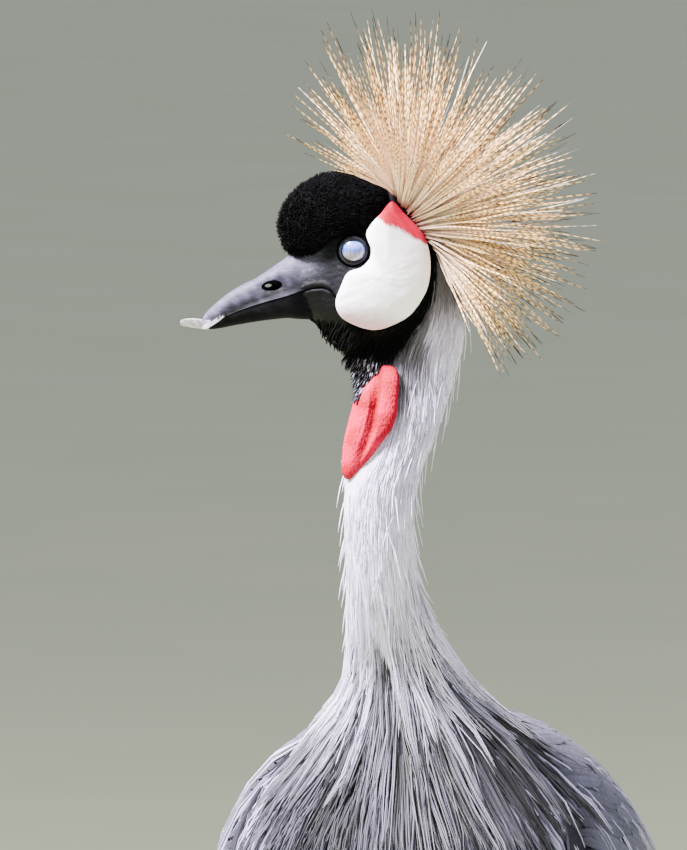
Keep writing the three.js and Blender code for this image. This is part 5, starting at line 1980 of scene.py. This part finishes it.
@dataclass
class Coat:
    """The feathers that grow on the skin from the throat to the thighs."""

    skin: Object
    wattle: Object
    carrier: Carrier = field(init=False)
    draped: Carrier = field(init=False)

    def __post_init__(self) -> None:
        """Reads the skin."""
        self.carrier = Carrier(self.skin)

    def grow(
        self, roots: Array, normals: Array, length: Array, half: Array, lift: tuple[float, float | Array],
        seed: int, carrier: Carrier | None = None, steps: int = 6, thick: float = 0.35, vary: float = 0.16,
        swerve: float = 0.1, hold: float = 1.0, turn: float | Array = 0.0,
    ) -> Batch:
        """Lets feathers grow from their roots along the lie of the coat.

        Args:
            roots: Where they grow.
            normals: The way that the skin looks there.
            length: Their lengths.
            half: Their half widths.
            lift: How far over the skin a root and a tip lie.
            seed: Seed of the random draw.
            carrier: What they lie on, if not the skin.
            steps: Points of their paths.
            thick: Their thickness.
            vary: How far their tones differ.
            swerve: How far they turn aside, in radians.
            hold: How closely they keep to the surface.
            turn: How far each one turns aside besides, in radians.

        Returns:
            The feathers.
        """
        random = np.random.default_rng(seed)
        n = len(roots)
        length = length * (0.85 + 0.3 * random.random(n))
        tip = (lift[1] * (0.7 + 0.6 * random.random(n)))[:, None]
        rise = lift[0] + (tip - lift[0]) * np.linspace(0, 1, steps)[None, :] ** 0.8
        turn = turn + swerve * random.standard_normal(n)
        on = carrier or self.carrier
        paths, faces = on.walk(roots, normals, body_lie, length, rise, turn, hold)
        tint = tinted(MARKINGS.colour(roots), vary, random)
        half = half * (0.85 + 0.3 * random.random(n))
        return Batch(paths, faces, half, np.full(n, thick), tint, unwrap(roots))

    def throat(self) -> None:
        """The short black feathers of throat, chin and nape, scaly and speckled in front of the wattle."""

        def wanted(p: Array) -> Array:
            """Where the black feathers grow."""
            local = into_head(p)
            _, forward, up = split_head(local)
            bare = (forward > 11) & (up > -28.5 + 0.05 * (forward - 11))
            return (MARKINGS.black_share(p) > 0.2) & (p[:, 2] > 790) & ~bare

        roots, normals = self.carrier.roots(1.1, wanted, 21)
        lobes = Carrier(self.wattle)

        def on_lobes(p: Array) -> Array:
            """Where small scales grow on the wattle's black root."""
            return (MARKINGS.black_share(p) > 0.5) & (into_head(p)[:, 1] < -2)

        extra, looks = lobes.roots(1.1, on_lobes, 24)
        local = into_head(roots)
        _, forward, up = split_head(local)
        scaly = smooth(forward, 1, 8) * smooth(-up, 40, 50)
        behind = smooth(-forward, 17, 22)
        front = smooth(forward, 4, 14) * smooth(-up, 27, 33) * (1 - scaly)
        length = 6.2 - 2.2 * scaly - 2.6 * behind + 4.0 * front
        rise = 0.9 + 3.0 * scaly * smooth(forward, 6, 14) + 5.0 * front * smooth(-forward, -46, -30)
        batch = self.grow(roots, normals, length, 0.6 + 0.5 * scaly, (-0.2, rise), 22, steps=4, thick=0.4)
        small = np.ones(len(extra))
        scales = self.grow(extra, looks, 3.6 * small, 0.9 * small, (-0.2, 0.9), 25, lobes, 4, 0.4)
        batch = batch.joined(scales)
        random = np.random.default_rng(23)
        scaly = np.concatenate([scaly, small])
        speckle_draw = random.random(len(scaly))
        for share, colour in ((0.9, "#24232a"), (0.42, "#4a4954"), (0.12, "#8c8a96")):
            batch.tint[speckle_draw < share * scaly, :3] = shade(colour)
        strand = blade_template([(0, 0.8), (0.35, 1), (0.75, 0.7), (1, 0.15)])
        finish_piece(lay("throat_down", strand, batch), THROAT.build(), smooth_by=180)

    def neck(self) -> None:
        """The long narrow feathers of the neck, each a lock of loose strands, and the wisps that stray."""

        def wanted(p: Array) -> Array:
            """Where the neck's own feathers grow."""
            local = into_head(p)
            head = (-local[:, 1] > 8) & (local[:, 2] > -66)
            return (MARKINGS.black_share(p) < 0.6) & (p[:, 2] > 668) & (p[:, 2] < 872) & ~head

        strand = blade_template([(0, 0.7), (0.25, 1), (0.6, 0.85), (0.86, 0.5), (1, 0.06)])
        finish = NECK_BARBS.build()
        random = np.random.default_rng(30)
        roots, normals = self.carrier.roots(1.75, wanted, 31)
        roots, normals = spread_out(roots, normals, 3, 0.9, random)
        low = smooth(-roots[:, 2], -760, -690)
        lift = 0.7 + 0.8 * random.random(len(roots))
        lengths, halves = 17 + 22 * low, 0.5 + 0.1 * low
        batch = self.grow(roots, normals, lengths, halves, (-0.5, lift), 32, swerve=0.08, vary=0.1)
        stray, looks = self.carrier.roots(6.5, wanted, 34)
        some = np.ones(len(stray))
        loose = self.grow(stray, looks, 24.0 * some, 0.28 * some, (-0.4, 5.0), 35, swerve=0.3)
        batch = batch.joined(loose)
        spots, looks = Carrier(self.wattle).nearest(batch.paths.reshape(-1, 3))
        away = batch.paths.reshape(-1, 3) - spots
        off, apart = (away * looks).sum(axis=1), np.linalg.norm(away, axis=1)
        hits = ((apart < 0.9) | ((off < 0) & (apart < 9))).reshape(len(batch.paths), -1).any(axis=1)
        batch = batch.chosen(~hits)
        for word, part in (("upper", batch.paths[:, 0, 2] > 752), ("lower", batch.paths[:, 0, 2] <= 752)):
            piece = lay(f"neck_coat_{word}", strand, batch.chosen(part))
            finish_piece(piece, finish, (f"neck_{word}",), smooth_by=180)

    def plumes(self) -> None:
        """The long loose plumes that hang from the root of the neck over breast and shoulders, in layers."""
        strand = blade_template([(0, 0.7), (0.2, 1), (0.5, 0.95), (0.8, 0.6), (1, 0.05)])
        finish = MANTLE_PLUMES.build()
        for k, layer in enumerate(PLUMES):
            random = np.random.default_rng(40 + k)
            source = self.draped if layer.on_wing else self.carrier
            roots, normals = source.roots(layer.spacing, layer.grows, 41 + k)
            locks, strands = len(roots), layer.strands
            stray = 1 + 1.8 * (random.random(locks) < 0.1)
            turn = np.repeat(0.12 * stray * random.standard_normal(locks), strands)
            roots, normals = spread_out(roots, normals, strands, 1.7, random)
            length = layer.reach * np.repeat(0.7 + 0.45 * random.random(locks), strands)
            rank = random.random(locks)
            rise = (-0.8, layer.lift * np.repeat(0.3 + 1.0 * rank, strands))
            half = np.full(len(roots), layer.half)
            batch = self.grow(
                roots, normals, length, half, rise, 51 + k, self.draped, 8, 0.5, 0.12, 0.04, 0.97, turn
            )
            batch.gather(strands, 0.7)
            batch.wave(np.repeat(random.random(locks), strands), 2.2)
            # Painted shade: locks of low rank lie lowest and are darkened as shade under the higher ones.
            tone = layer.light * (0.12 + 0.93 * smooth(rank, layer.shaded - 0.12, layer.shaded + 0.2))
            tone = tone * (0.86 + 0.24 * random.random(locks))
            batch.tint[:, :3] *= np.repeat(tone[:, None], strands, 0)
            piece = lay(f"{layer.word}_plumes", strand, batch)
            finish_piece(piece, finish, layer.nodes, smooth_by=180)

    def body(self) -> None:
        """The rounded slate feathers of belly, flanks, back and rump."""

        def wanted(p: Array) -> Array:
            """Where they grow: the body outside the folded wings and the thighs."""
            share = BODY.scaled(p)
            turn = np.degrees(np.arctan2(np.abs(share[:, 1]), share[:, 2]))
            along = (p - BODY.centre) @ BODY.axis
            under_wing = (turn > 26) & (turn < 100) & (along < 30) & (along > -190)
            leg = (p[:, 2] < 462) & (np.abs(np.abs(p[:, 0]) - LEG.spread) < 26) & (share[:, 2] < -1.05)
            plumed = (p[:, 2] > 500) & (share[:, 0] > np.interp(p[:, 2], [500, 560, 640], [0.5, 0.3, -0.1]))
            return (p[:, 2] < 640) & (p[:, 2] > 380) & ~under_wing & ~leg & ~plumed

        roots, normals = self.carrier.roots(5.2, wanted, 61)
        behind = smooth(roots[:, 1], 60, 200)
        batch = self.grow(
            roots, normals, 26 + 14 * behind, 4.0 + 1.2 * behind, (-0.8, 1.8), 62, steps=5, vary=0.4
        )
        vane = blade_template([(0, 0.25), (0.2, 0.75), (0.5, 1), (0.75, 0.95), (0.92, 0.62), (1, 0.2)])
        piece = lay("body_feathers", vane, batch)
        finish_piece(piece, BODY_FEATHERS.build(), ("torso",), smooth_by=60)

    def thighs(self) -> None:
        """The short close feathers of the thighs."""

        def wanted(p: Array) -> Array:
            """Where they grow."""
            under = np.abs(BODY.scaled(p)[:, 2]) > 1.0
            return (p[:, 2] < 430) | ((p[:, 2] < THIGH_TOP) & under)

        roots, normals = self.carrier.roots(3.4, wanted, 71)
        low = smooth(-roots[:, 2], -440, -335)
        batch = self.grow(roots, normals, 21 - 7 * low, 2.4 - 1.0 * low, (-0.5, 1.3), 72, steps=5, vary=0.4)
        vane = blade_template([(0, 0.3), (0.25, 0.8), (0.55, 1), (0.85, 0.7), (1, 0.15)])
        piece = lay("thigh_feathers", vane, batch)
        nodes = ("thigh_left", "thigh_right")
        finish_piece(piece, THIGH_FEATHERS.build(), nodes, smooth_by=60)


COVERT_OUTLINE = [(0, 0.3), (0.15, 0.62), (0.4, 0.92), (0.65, 1.0), (0.85, 0.86), (0.95, 0.6), (1, 0.28)]
QUILL_OUTLINE = [(0, 0.4), (0.15, 0.8), (0.4, 1.0), (0.7, 0.94), (0.88, 0.8), (0.96, 0.6), (1, 0.3)]


class Quill(Enum):
    """The kinds of feather of the folded wing."""

    COVERT = "white_coverts"
    PLUME = "gold_plumes"
    SECONDARY = "chestnut_feathers"
    PRIMARY = "black_feathers"


@dataclass
class WingFeathers:
    """A folded wing: its shape under the feathers, and its feathers row by row."""

    side: Side

    def core(self) -> Object:
        """Models the closed form of the wing that carries the feathers."""
        along = np.linspace(WING.front - 1, -184, 60)
        turn = np.linspace(WING.top + 2, WING.bottom - 2, 40)
        rings = []
        for a in along:
            outer, _ = WING.place(self.side, np.full(40, a), turn, np.full(40, -1.0))
            thick = WING.thickness(np.full(40, a), turn)
            inner, _ = WING.place(self.side, np.full(40, a), turn, -thick - 2.4)
            rings.append(np.concatenate([outer, inner[::-1]]))
        obj = lofted(f"wing_form_{self.side.word}", np.array(rings))
        move_to(obj, to_row(places(obj)))
        return obj

    def dress_core(self, form: Object, ground: Material) -> None:
        """Colours the wing's form, darker in front where the mantle shades it."""
        front = smooth((in_bird(form) - BODY.centre) @ BODY.axis, -30, 20)[:, None]
        add_tint(form, blend(shade("#8c8b93"), shade("#2c2b34"), front))
        finish_piece(form, ground, smooth_by=60)

    def batch(
        self, along: Array, turn: Array, length: Array, half: Array, lifts: tuple[float, float, float],
        fan: Array, shingle: float, colour: Array, seed: int,
    ) -> Batch:
        """Lays feathers out over the wing's surface.

        Args:
            along: Where their roots are along the body's axis.
            turn: Degrees round the body.
            length: Their lengths.
            half: Their half widths.
            lifts: Heights of a root, of its first stretch, and of a tip.
            fan: Degrees that each tip lies further round.
            shingle: Degrees that each feather is rolled over the next one.
            colour: Linear colours, one for each feather.
            seed: Seed of the random draw.

        Returns:
            The feathers.
        """
        random = np.random.default_rng(seed)
        n, steps = len(along), 9
        share = np.linspace(0, 1, steps)
        wave = 0.5 * (random.random((n, 1)) - 0.5)
        lift = np.where(share < 0.02, lifts[0], lifts[1] + (lifts[2] - lifts[1]) * share)[None] + wave
        place = along[:, None] - length[:, None] * share[None]
        angle = turn[:, None] + fan[:, None] * share[None] ** 2
        paths, faces = WING.place(self.side, place, angle, lift)
        roll = math.radians(shingle) * self.side.value
        around = np.cross(np.broadcast_to(BODY.axis, faces.shape), faces)
        faces = unit(faces * math.cos(roll) + around * math.sin(roll))
        tint = tinted(colour, 0.14, random)
        return Batch(paths, faces, half, np.full(n, 0.6), tint, unwrap(paths[:, 0]))

    def coverts(self, feather: Template, finish: Material) -> None:
        """The white coverts, in rows from the bend of the wing back.

        Args:
            feather: The shape of one.
            finish: Their material.
        """
        random = np.random.default_rng(81)
        rows = []
        for r, base in enumerate(np.arange(50, -135, -11.0)):
            share = (50 - base) / 185
            count = int(round(17 + 5 * math.sin(math.pi * min(share + 0.25, 1.0))))
            count += 6 if share < 0.3 else 0
            for i in range(count):
                spot = (i + (0.5 if r % 2 else 0.0) + 0.3 * random.random()) / count
                rows.append((base + 3 * random.random(), WING.top + 5 + 94 * spot, share))
        along, turn, share = np.array(rows).T
        edge = smooth(np.abs(turn - 62), 36, 50)
        length = (36 + 30 * share) * (0.86 + 0.28 * random.random(len(along)))
        half = (4.0 + 7.5 * smooth(share, 0.0, 0.5)) * (1 - 0.2 * edge)
        grey = (1 - smooth(share + 0.2 * (random.random(len(share)) - 0.5), 0.24, 0.52))[:, None]
        colour = blend(shade("#d6d3da"), shade("#5c5b70"), grey)
        colour = colour * (0.66 + 0.4 * random.random((len(along), 1)))
        sway = 3 + 5 * (random.random(len(along)) - 0.5)
        batch = self.batch(along, turn, length, half, (-1.8, 0.2, 2.6), sway, -4.0, colour, 82)
        piece = lay(f"coverts_{self.side.word}", feather, batch)
        finish_piece(piece, finish, (f"wing_{self.side.word}",), smooth_by=60)

    def plumes(self, strand: Template, finish: Material) -> None:
        """The long straw-gold plumes that hang over the flight feathers.

        Args:
            strand: The shape of one.
            finish: Their material.
        """
        random = np.random.default_rng(83)
        n = 620
        spot = (np.arange(n) + 0.5) / n
        along = -90 - 82 * random.random(n) ** 0.6
        turn = 15 + 34 * spot + 5 * (random.random(n) - 0.5)
        length = (170 + along + 140) * (0.7 + 0.3 * np.sin(np.pi * spot)) * (0.8 + 0.25 * random.random(n))
        fan = 40 * (0.8 + 0.4 * spot + 0.15 * random.random(n))
        gold = shade("#c9974a") * (0.6 + 0.5 * random.random((n, 1)))
        pale = (random.random((n, 1)) < 0.35) * 0.5
        colour = blend(gold, shade("#dcc9a0"), pale)
        batch = self.batch(along, turn, length, np.full(n, 0.8), (2.0, 4.4, 6.8), fan, 0, colour, 84)
        batch.paths += batch.faces * (2.6 * random.random((n, 1, 1)))
        piece = lay(f"gold_plumes_{self.side.word}", strand, batch)
        finish_piece(piece, finish, (f"wing_gold_{self.side.word}",), smooth_by=180)

    def flight(self, feather: Template, kind: Quill, finish: Material) -> None:
        """The secondaries or the primaries, one under the other.

        Args:
            feather: The shape of one.
            kind: Which of the two.
            finish: Their material.
        """
        second = kind is Quill.SECONDARY
        n = 18 if second else 9
        random = np.random.default_rng(85)
        spot = (np.arange(n) + 0.5) / n
        front, rear, top, bottom = (-124, -160, 16, 102) if second else (-206, -232, 56, 98)
        along = front + (rear - front) * random.random(n)
        turn = top + (bottom - top) * spot
        reach = 200 if second else 126
        length = reach * (0.86 + 0.14 * np.sin(np.pi * spot)) * (0.95 + 0.07 * random.random(n))
        half = np.full(n, 10.0 if second else 7.5)
        lifts = (-4.0, -3.0, -1.5) if second else (-11.5, -14.2, -12.8)
        base = shade("#3a1c14") if second else shade("#17171c")
        colour = base * (0.8 + 0.35 * random.random((n, 1)))
        fan = np.zeros(n) if second else np.full(n, 4.0)
        batch = self.batch(along, turn, length, half, lifts, fan, -9, colour, 86)
        word = "secondaries" if second else "primaries"
        piece = lay(f"{word}_vanes_{self.side.word}", feather, batch)
        finish_piece(piece, finish, (f"{word}_{self.side.word}",), smooth_by=60)


@dataclass
class Tail:
    """The tail: twelve square black feathers in a narrow fan from the rump."""

    along: float = -242
    up: float = -4
    count: int = 12
    length: float = 112
    spread: float = 14
    drop: float = 16
    root: float = 11

    def dress(self, finish: Material) -> None:
        """Builds the tail and its root.

        Args:
            finish: The feathers' material.
        """
        place = BODY.world(np.array(self.along), np.array(0.0), np.array(self.up))
        ball = Egg(forward=0, height=0, pitch=BODY.pitch, front=20, rear=24, up=9, down=9, side=17)
        base = ball.mesh("tail_root", 32, 20)
        move_to(base, to_row(places(base) + place))
        add_tint(base, shade("#1c1c22"))
        random = np.random.default_rng(91)
        share = np.linspace(-1, 1, self.count)
        swing = np.radians(self.spread * share)
        back = -BODY.axis
        run = back * np.cos(swing)[:, None] + ACROSS * np.sin(swing)[:, None]
        run = unit(run + np.array([0, 0, -math.tan(math.radians(self.drop))]))
        level = 1.3 * (self.count / 2 - np.abs(np.arange(self.count) - self.count / 2 + 0.5)) - 2
        start = place + ACROSS * (self.root * share)[:, None] + BODY.top * level[:, None]
        length = self.length * (1 - 0.1 * share**2) * (0.97 + 0.04 * random.random(self.count))
        steps = np.linspace(0, 1, 8)
        paths = start[:, None] + run[:, None] * (length[:, None] * steps[None])[..., None]
        faces = np.broadcast_to(BODY.top, paths.shape)
        tint = tinted(np.tile(shade("#18181d"), (self.count, 1)), 0.3, random)
        batch = Batch(paths, faces, np.full(self.count, 12.5), np.full(self.count, 0.7), tint, unwrap(start))
        outline = [(0, 0.35), (0.15, 0.7), (0.4, 0.95), (0.7, 1.0), (0.88, 0.96), (0.96, 0.86), (1, 0.6)]
        piece = lay("tail_feathers", vane_template(outline, 8, 0.16), batch)
        finish_piece(base, TAIL_DOWN.build(), ("tail",))
        finish_piece(piece, finish, ("tail",), smooth_by=60)


@dataclass
class LegPiece:
    """The bare leg and foot of one side: scaly tarsus, knobbed hock, four toes with claws."""

    side: Side
    toes: tuple[tuple[float, ...], ...] = ((0, 84, 4.6), (27, 66, 4.2), (-27, 69, 4.2), (176, 42, 3.8))
    claw: tuple[float, float] = (11, 2)  # length and half thickness

    def shank(self) -> Object:
        """Models the bare leg from the feathers to the ankle, with scutes down its front."""
        spots = LEG.joints(self.side)
        low, hock, ankle = spots["low"], spots["hock"], spots["ankle"]
        above, below = hock - low, ankle - hock
        upper = [low, low + above * 0.5, low + above * 0.86]
        line = np.array([*upper, hock, hock + below * 0.12, hock + below * 0.5, ankle - [0, 0, 6]])
        widths = np.array([
            [6.2, 6.2], [6.2, 6.2], [5.9, 6.2], [7.7, 9], [7.2, 8.5], [5.2, 6.5], [5.2, 6.2],
            [5.2, 6.2], [7, 7],
        ])
        levels, sides = 220, 36
        rings = limb_rings(line, widths, levels, sides)
        middle = rings.mean(axis=1, keepdims=True)
        angle = turns(sides)[None, :]
        height = middle[:, :, 2]
        phase = (height / 4.6) % 1.0
        front = smooth(-np.sin(angle), 0.1, 0.6)
        scute = 0.5 * (phase - 0.5) * front
        mesh = 0.16 * np.sin(height * 2.1 + 3 * np.sin(angle * 5)) * np.sin(angle * 9) * (1 - front)
        grown = 1 + (scute + mesh)[..., None] / 6
        rings = middle + (rings - middle) * grown
        return lofted("leg", rings)

    def toe(self, turn: float, length: float, half: float) -> list[Object]:
        """Models a toe with flat-soled pads and scutes on top, and its claw.

        Args:
            turn: Degrees that it points aside.
            length: Its length.
            half: Half its width.

        Returns:
            The toe and its claw.
        """
        bearing = math.radians(turn * self.side.value)
        heading = np.array([math.sin(bearing), -math.cos(bearing), 0.0])
        across = np.array([math.cos(bearing), math.sin(bearing), 0.0])
        ankle = LEG.joints(self.side)["ankle"]
        start = np.array([ankle[0], ankle[1], 0.0])
        levels, sides = 70, 24
        share = np.linspace(0, 1, levels)
        pad = np.cos(share * 4 * np.pi)
        wide = half * (1.05 - 0.43 * share) * (1 + 0.13 * pad)
        high = half * (2.6 - 1.2 * np.sqrt(share)) * (1 + 0.06 * pad) * 0.72
        close = np.sqrt(np.clip(1 - ((share - 0.9) / 0.1).clip(0) ** 2, 0.02, 1))
        angle = turns(sides)
        step = 0.05 * ((share * length / 3.6) % 1.0 - 0.5)
        x = np.outer(wide * close, np.cos(angle))
        top = np.outer(high * close * (1 + step), np.maximum(np.sin(angle), 0) ** 0.8)
        edge = 0.24 * high[:, None]
        sole = edge * (1 - np.abs(np.sin(angle)) ** 0.4)
        z = np.where(np.sin(angle)[None, :] > 0, edge + 0.76 * top, sole)
        rings = start + heading * (share * length)[:, None, None] + across * x[..., None]
        rings[..., 2] += z
        toe = lofted("toe", rings)
        size, thick = self.claw
        spots = np.linspace(0, 1, 16)
        radius = thick * (1 - 0.78 * spots)
        centre_height = thick * 1.6 + (0.9 - thick * 1.6) * spots**2
        middle = start + heading * (length - 4 + (size + 4) * spots)[:, None]
        ring = turns(14)
        points = middle[:, None] + across * np.outer(radius, np.cos(ring))[..., None]
        points[..., 2] += np.maximum(centre_height[:, None] + np.outer(radius, np.sin(ring)), 0.0)
        return [toe, lofted("claw", points)]

    def dress(self, scales: Material, horn: Material) -> None:
        """Builds the leg and the foot with their scaly skin, and the claws with their horn.

        Args:
            scales: The skin's material.
            horn: The claws' material.
        """
        ankle = LEG.joints(self.side)["ankle"]
        knuckle = Egg(-ankle[1], LEG.ankle_height * 0.62, pitch=0, front=8, rear=8, up=9, down=8, side=8)
        ball = knuckle.mesh("ankle", 32, 20)
        local = places(ball)
        local[:, 0] += ankle[0]
        move_to(ball, local)
        pieces = [self.shank(), ball]
        claws = []
        for turn, length, half in self.toes:
            toe, claw = self.toe(turn, length, half)
            pieces.append(toe)
            claws.append(claw)
        for obj in (*pieces, *claws):
            local = places(obj)
            local[:, 2] = np.maximum(local[:, 2], 0.0)
            move_to(obj, to_row(local))
            dark = shade("#0b0b0d") if obj in claws else shade("#1b1b21")
            add_tint(obj, dark * (1 + 0.35 * ripples(local, 17, 3.0))[:, None])
        shank, foot = f"shank_{self.side.word}", f"foot_{self.side.word}"
        joined_parts = (("leg_skin", pieces, scales, (shank, foot)), ("claws", claws, horn, (foot,)))
        for word, parts, finish, nodes in joined_parts:
            activate(*parts)
            bpy.ops.object.join()
            joined = bpy.context.object
            joined.name = f"{word}_{self.side.word}"
            finish_piece(joined, finish, nodes, smooth_by=50)


@dataclass(frozen=True)
class Lamp:
    """A square soft light that looks at the middle of the bird."""

    name: str
    azimuth: float  # degrees round the bird from its front, to the right of the picture
    elevation: float  # degrees over the level
    far: float  # its distance in metres
    size: float  # its side in metres
    power: float  # watts
    colour: str
    aim: float = 0.72  # the height that it looks at, in metres

    def build(self) -> None:
        """Hangs it in its place."""
        lamp = bpy.data.lights.new(self.name, "AREA")
        lamp.shape = "SQUARE"
        lamp.size = self.size
        lamp.energy = self.power
        lamp.color = linear(self.colour)[:3]
        obj = bpy.data.objects.new(self.name, lamp)
        bpy.context.scene.collection.objects.link(obj)
        a, e = math.radians(self.azimuth), math.radians(self.elevation)
        way = Vector((math.sin(a) * math.cos(e), -math.cos(a) * math.cos(e), math.sin(e)))
        obj.location = Vector((0, 0, self.aim)) + way * self.far
        obj.rotation_euler = way.to_track_quat("Z", "Y").to_euler()


LAMPS = (
    Lamp("key", -54, 54, far=2.6, size=0.6, power=1060, colour="#fffafc"),
    Lamp("fill", 55, 16, far=3.0, size=1.8, power=22, colour="#e6eeff"),
    Lamp("rim", 150, 50, far=2.8, size=1.2, power=45, colour=WHITE),
)


@dataclass
class Studio:
    """A plain pale floor, soft light and a camera at the photo's angle."""

    azimuth: float = 14.0
    elevation: float = 4.0
    picture_middle: tuple[float, float] = (-68.1, 772.2)
    head_plane: float = 222.8
    distance: float = 7000.0
    focal: float = 605.0
    floor_size: float = 90.0

    def build(self) -> None:
        """Makes the floor, the lights and the camera."""
        scene = bpy.context.scene
        deselect()
        bpy.ops.mesh.primitive_plane_add(size=self.floor_size)
        floor = bpy.context.object
        floor.name = "floor"
        grain = ("grain", "TexNoise", {"Scale": 3.0, "Detail": 2.0}, {0: "space.Object"})
        tone = ("tone", "ValToRGB", {"stops": [(0.2, "#b3bd94"), (0.8, "#bbc39e")]}, {0: "grain"})
        # Matt paper, evenly pale: it takes soft shadows and doesn't shine.
        paper = Recipe((SPACE, grain, tone), {"Roughness": 0.9}, base="tone")
        floor.data.materials.append(paper.build("matt_studio_floor_paper"))

        world = bpy.data.worlds.new("studio")
        scene.world = world
        world.use_nodes = True
        world.node_tree.nodes["Background"].inputs["Color"].default_value = linear("#dcdcf4")
        world.node_tree.nodes["Background"].inputs["Strength"].default_value = 0.9
        for lamp in LAMPS:
            lamp.build()

        view, turn = math.radians(self.elevation), math.radians(self.azimuth)
        right = Vector((math.cos(turn), math.sin(turn), 0))
        up = Vector((-math.sin(turn) * math.sin(view), math.cos(turn) * math.sin(view), math.cos(view)))
        back = right.cross(up)
        camera = bpy.data.objects.new("camera", bpy.data.cameras.new("camera"))
        scene.collection.objects.link(camera)
        u, v = self.picture_middle
        camera.location = (right * u + up * v + back * (self.head_plane + self.distance)) * MM
        camera.rotation_euler = back.to_track_quat("Z", "Y").to_euler()
        camera.data.lens = self.focal
        camera.data.clip_end = 200.0
        scene.camera = camera


def main() -> None:
    """Builds the bird from the skin outwards, and the studio round it."""
    logging.basicConfig(level=logging.INFO, format="%(message)s")
    Studio().build()
    LOG.info("studio")

    skin_maker = Skin()
    skin = skin_maker.build()
    wattle = Wattle().dress()
    coat = Coat(skin, wattle)
    wings = [WingFeathers(side) for side in Side]
    forms = [wing.core() for wing in wings]
    coat.draped = Carrier(skin, *forms)
    skin_maker.dress(skin)
    EyeSet().dress()
    Bill().dress()
    Cheeks().dress()
    LOG.info("head")

    VelvetCap().dress()
    Crest().dress()
    coat.throat()
    coat.neck()
    coat.plumes()
    coat.body()
    coat.thighs()
    LOG.info("coat")

    ground = WING_DOWN.build()
    for wing, form in zip(wings, forms):
        wing.dress_core(form, ground)
    covert = vane_template(COVERT_OUTLINE, 6, 0.05)
    quill = vane_template(QUILL_OUTLINE, 8, 0.12, 0.12)
    strand = blade_template([(0, 0.2), (0.25, 1), (0.6, 0.9), (0.85, 0.5), (1, 0.05)])
    white = COVERT_VANES.build()
    gold = GOLD_BARBS.build()
    chestnut = CHESTNUT_VANES.build()
    black = BLACK_VANES.build()
    for wing in wings:
        wing.coverts(covert, white)
        wing.plumes(strand, gold)
        wing.flight(quill, Quill.SECONDARY, chestnut)
        wing.flight(quill, Quill.PRIMARY, black)
    Tail().dress(black)
    scales, horn = LegFinish().build(), CLAW_HORN.build()
    for side in Side:
        LegPiece(side).dress(scales, horn)
    LOG.info("wings, tail and legs")


if __name__ == "__main__":
    main()
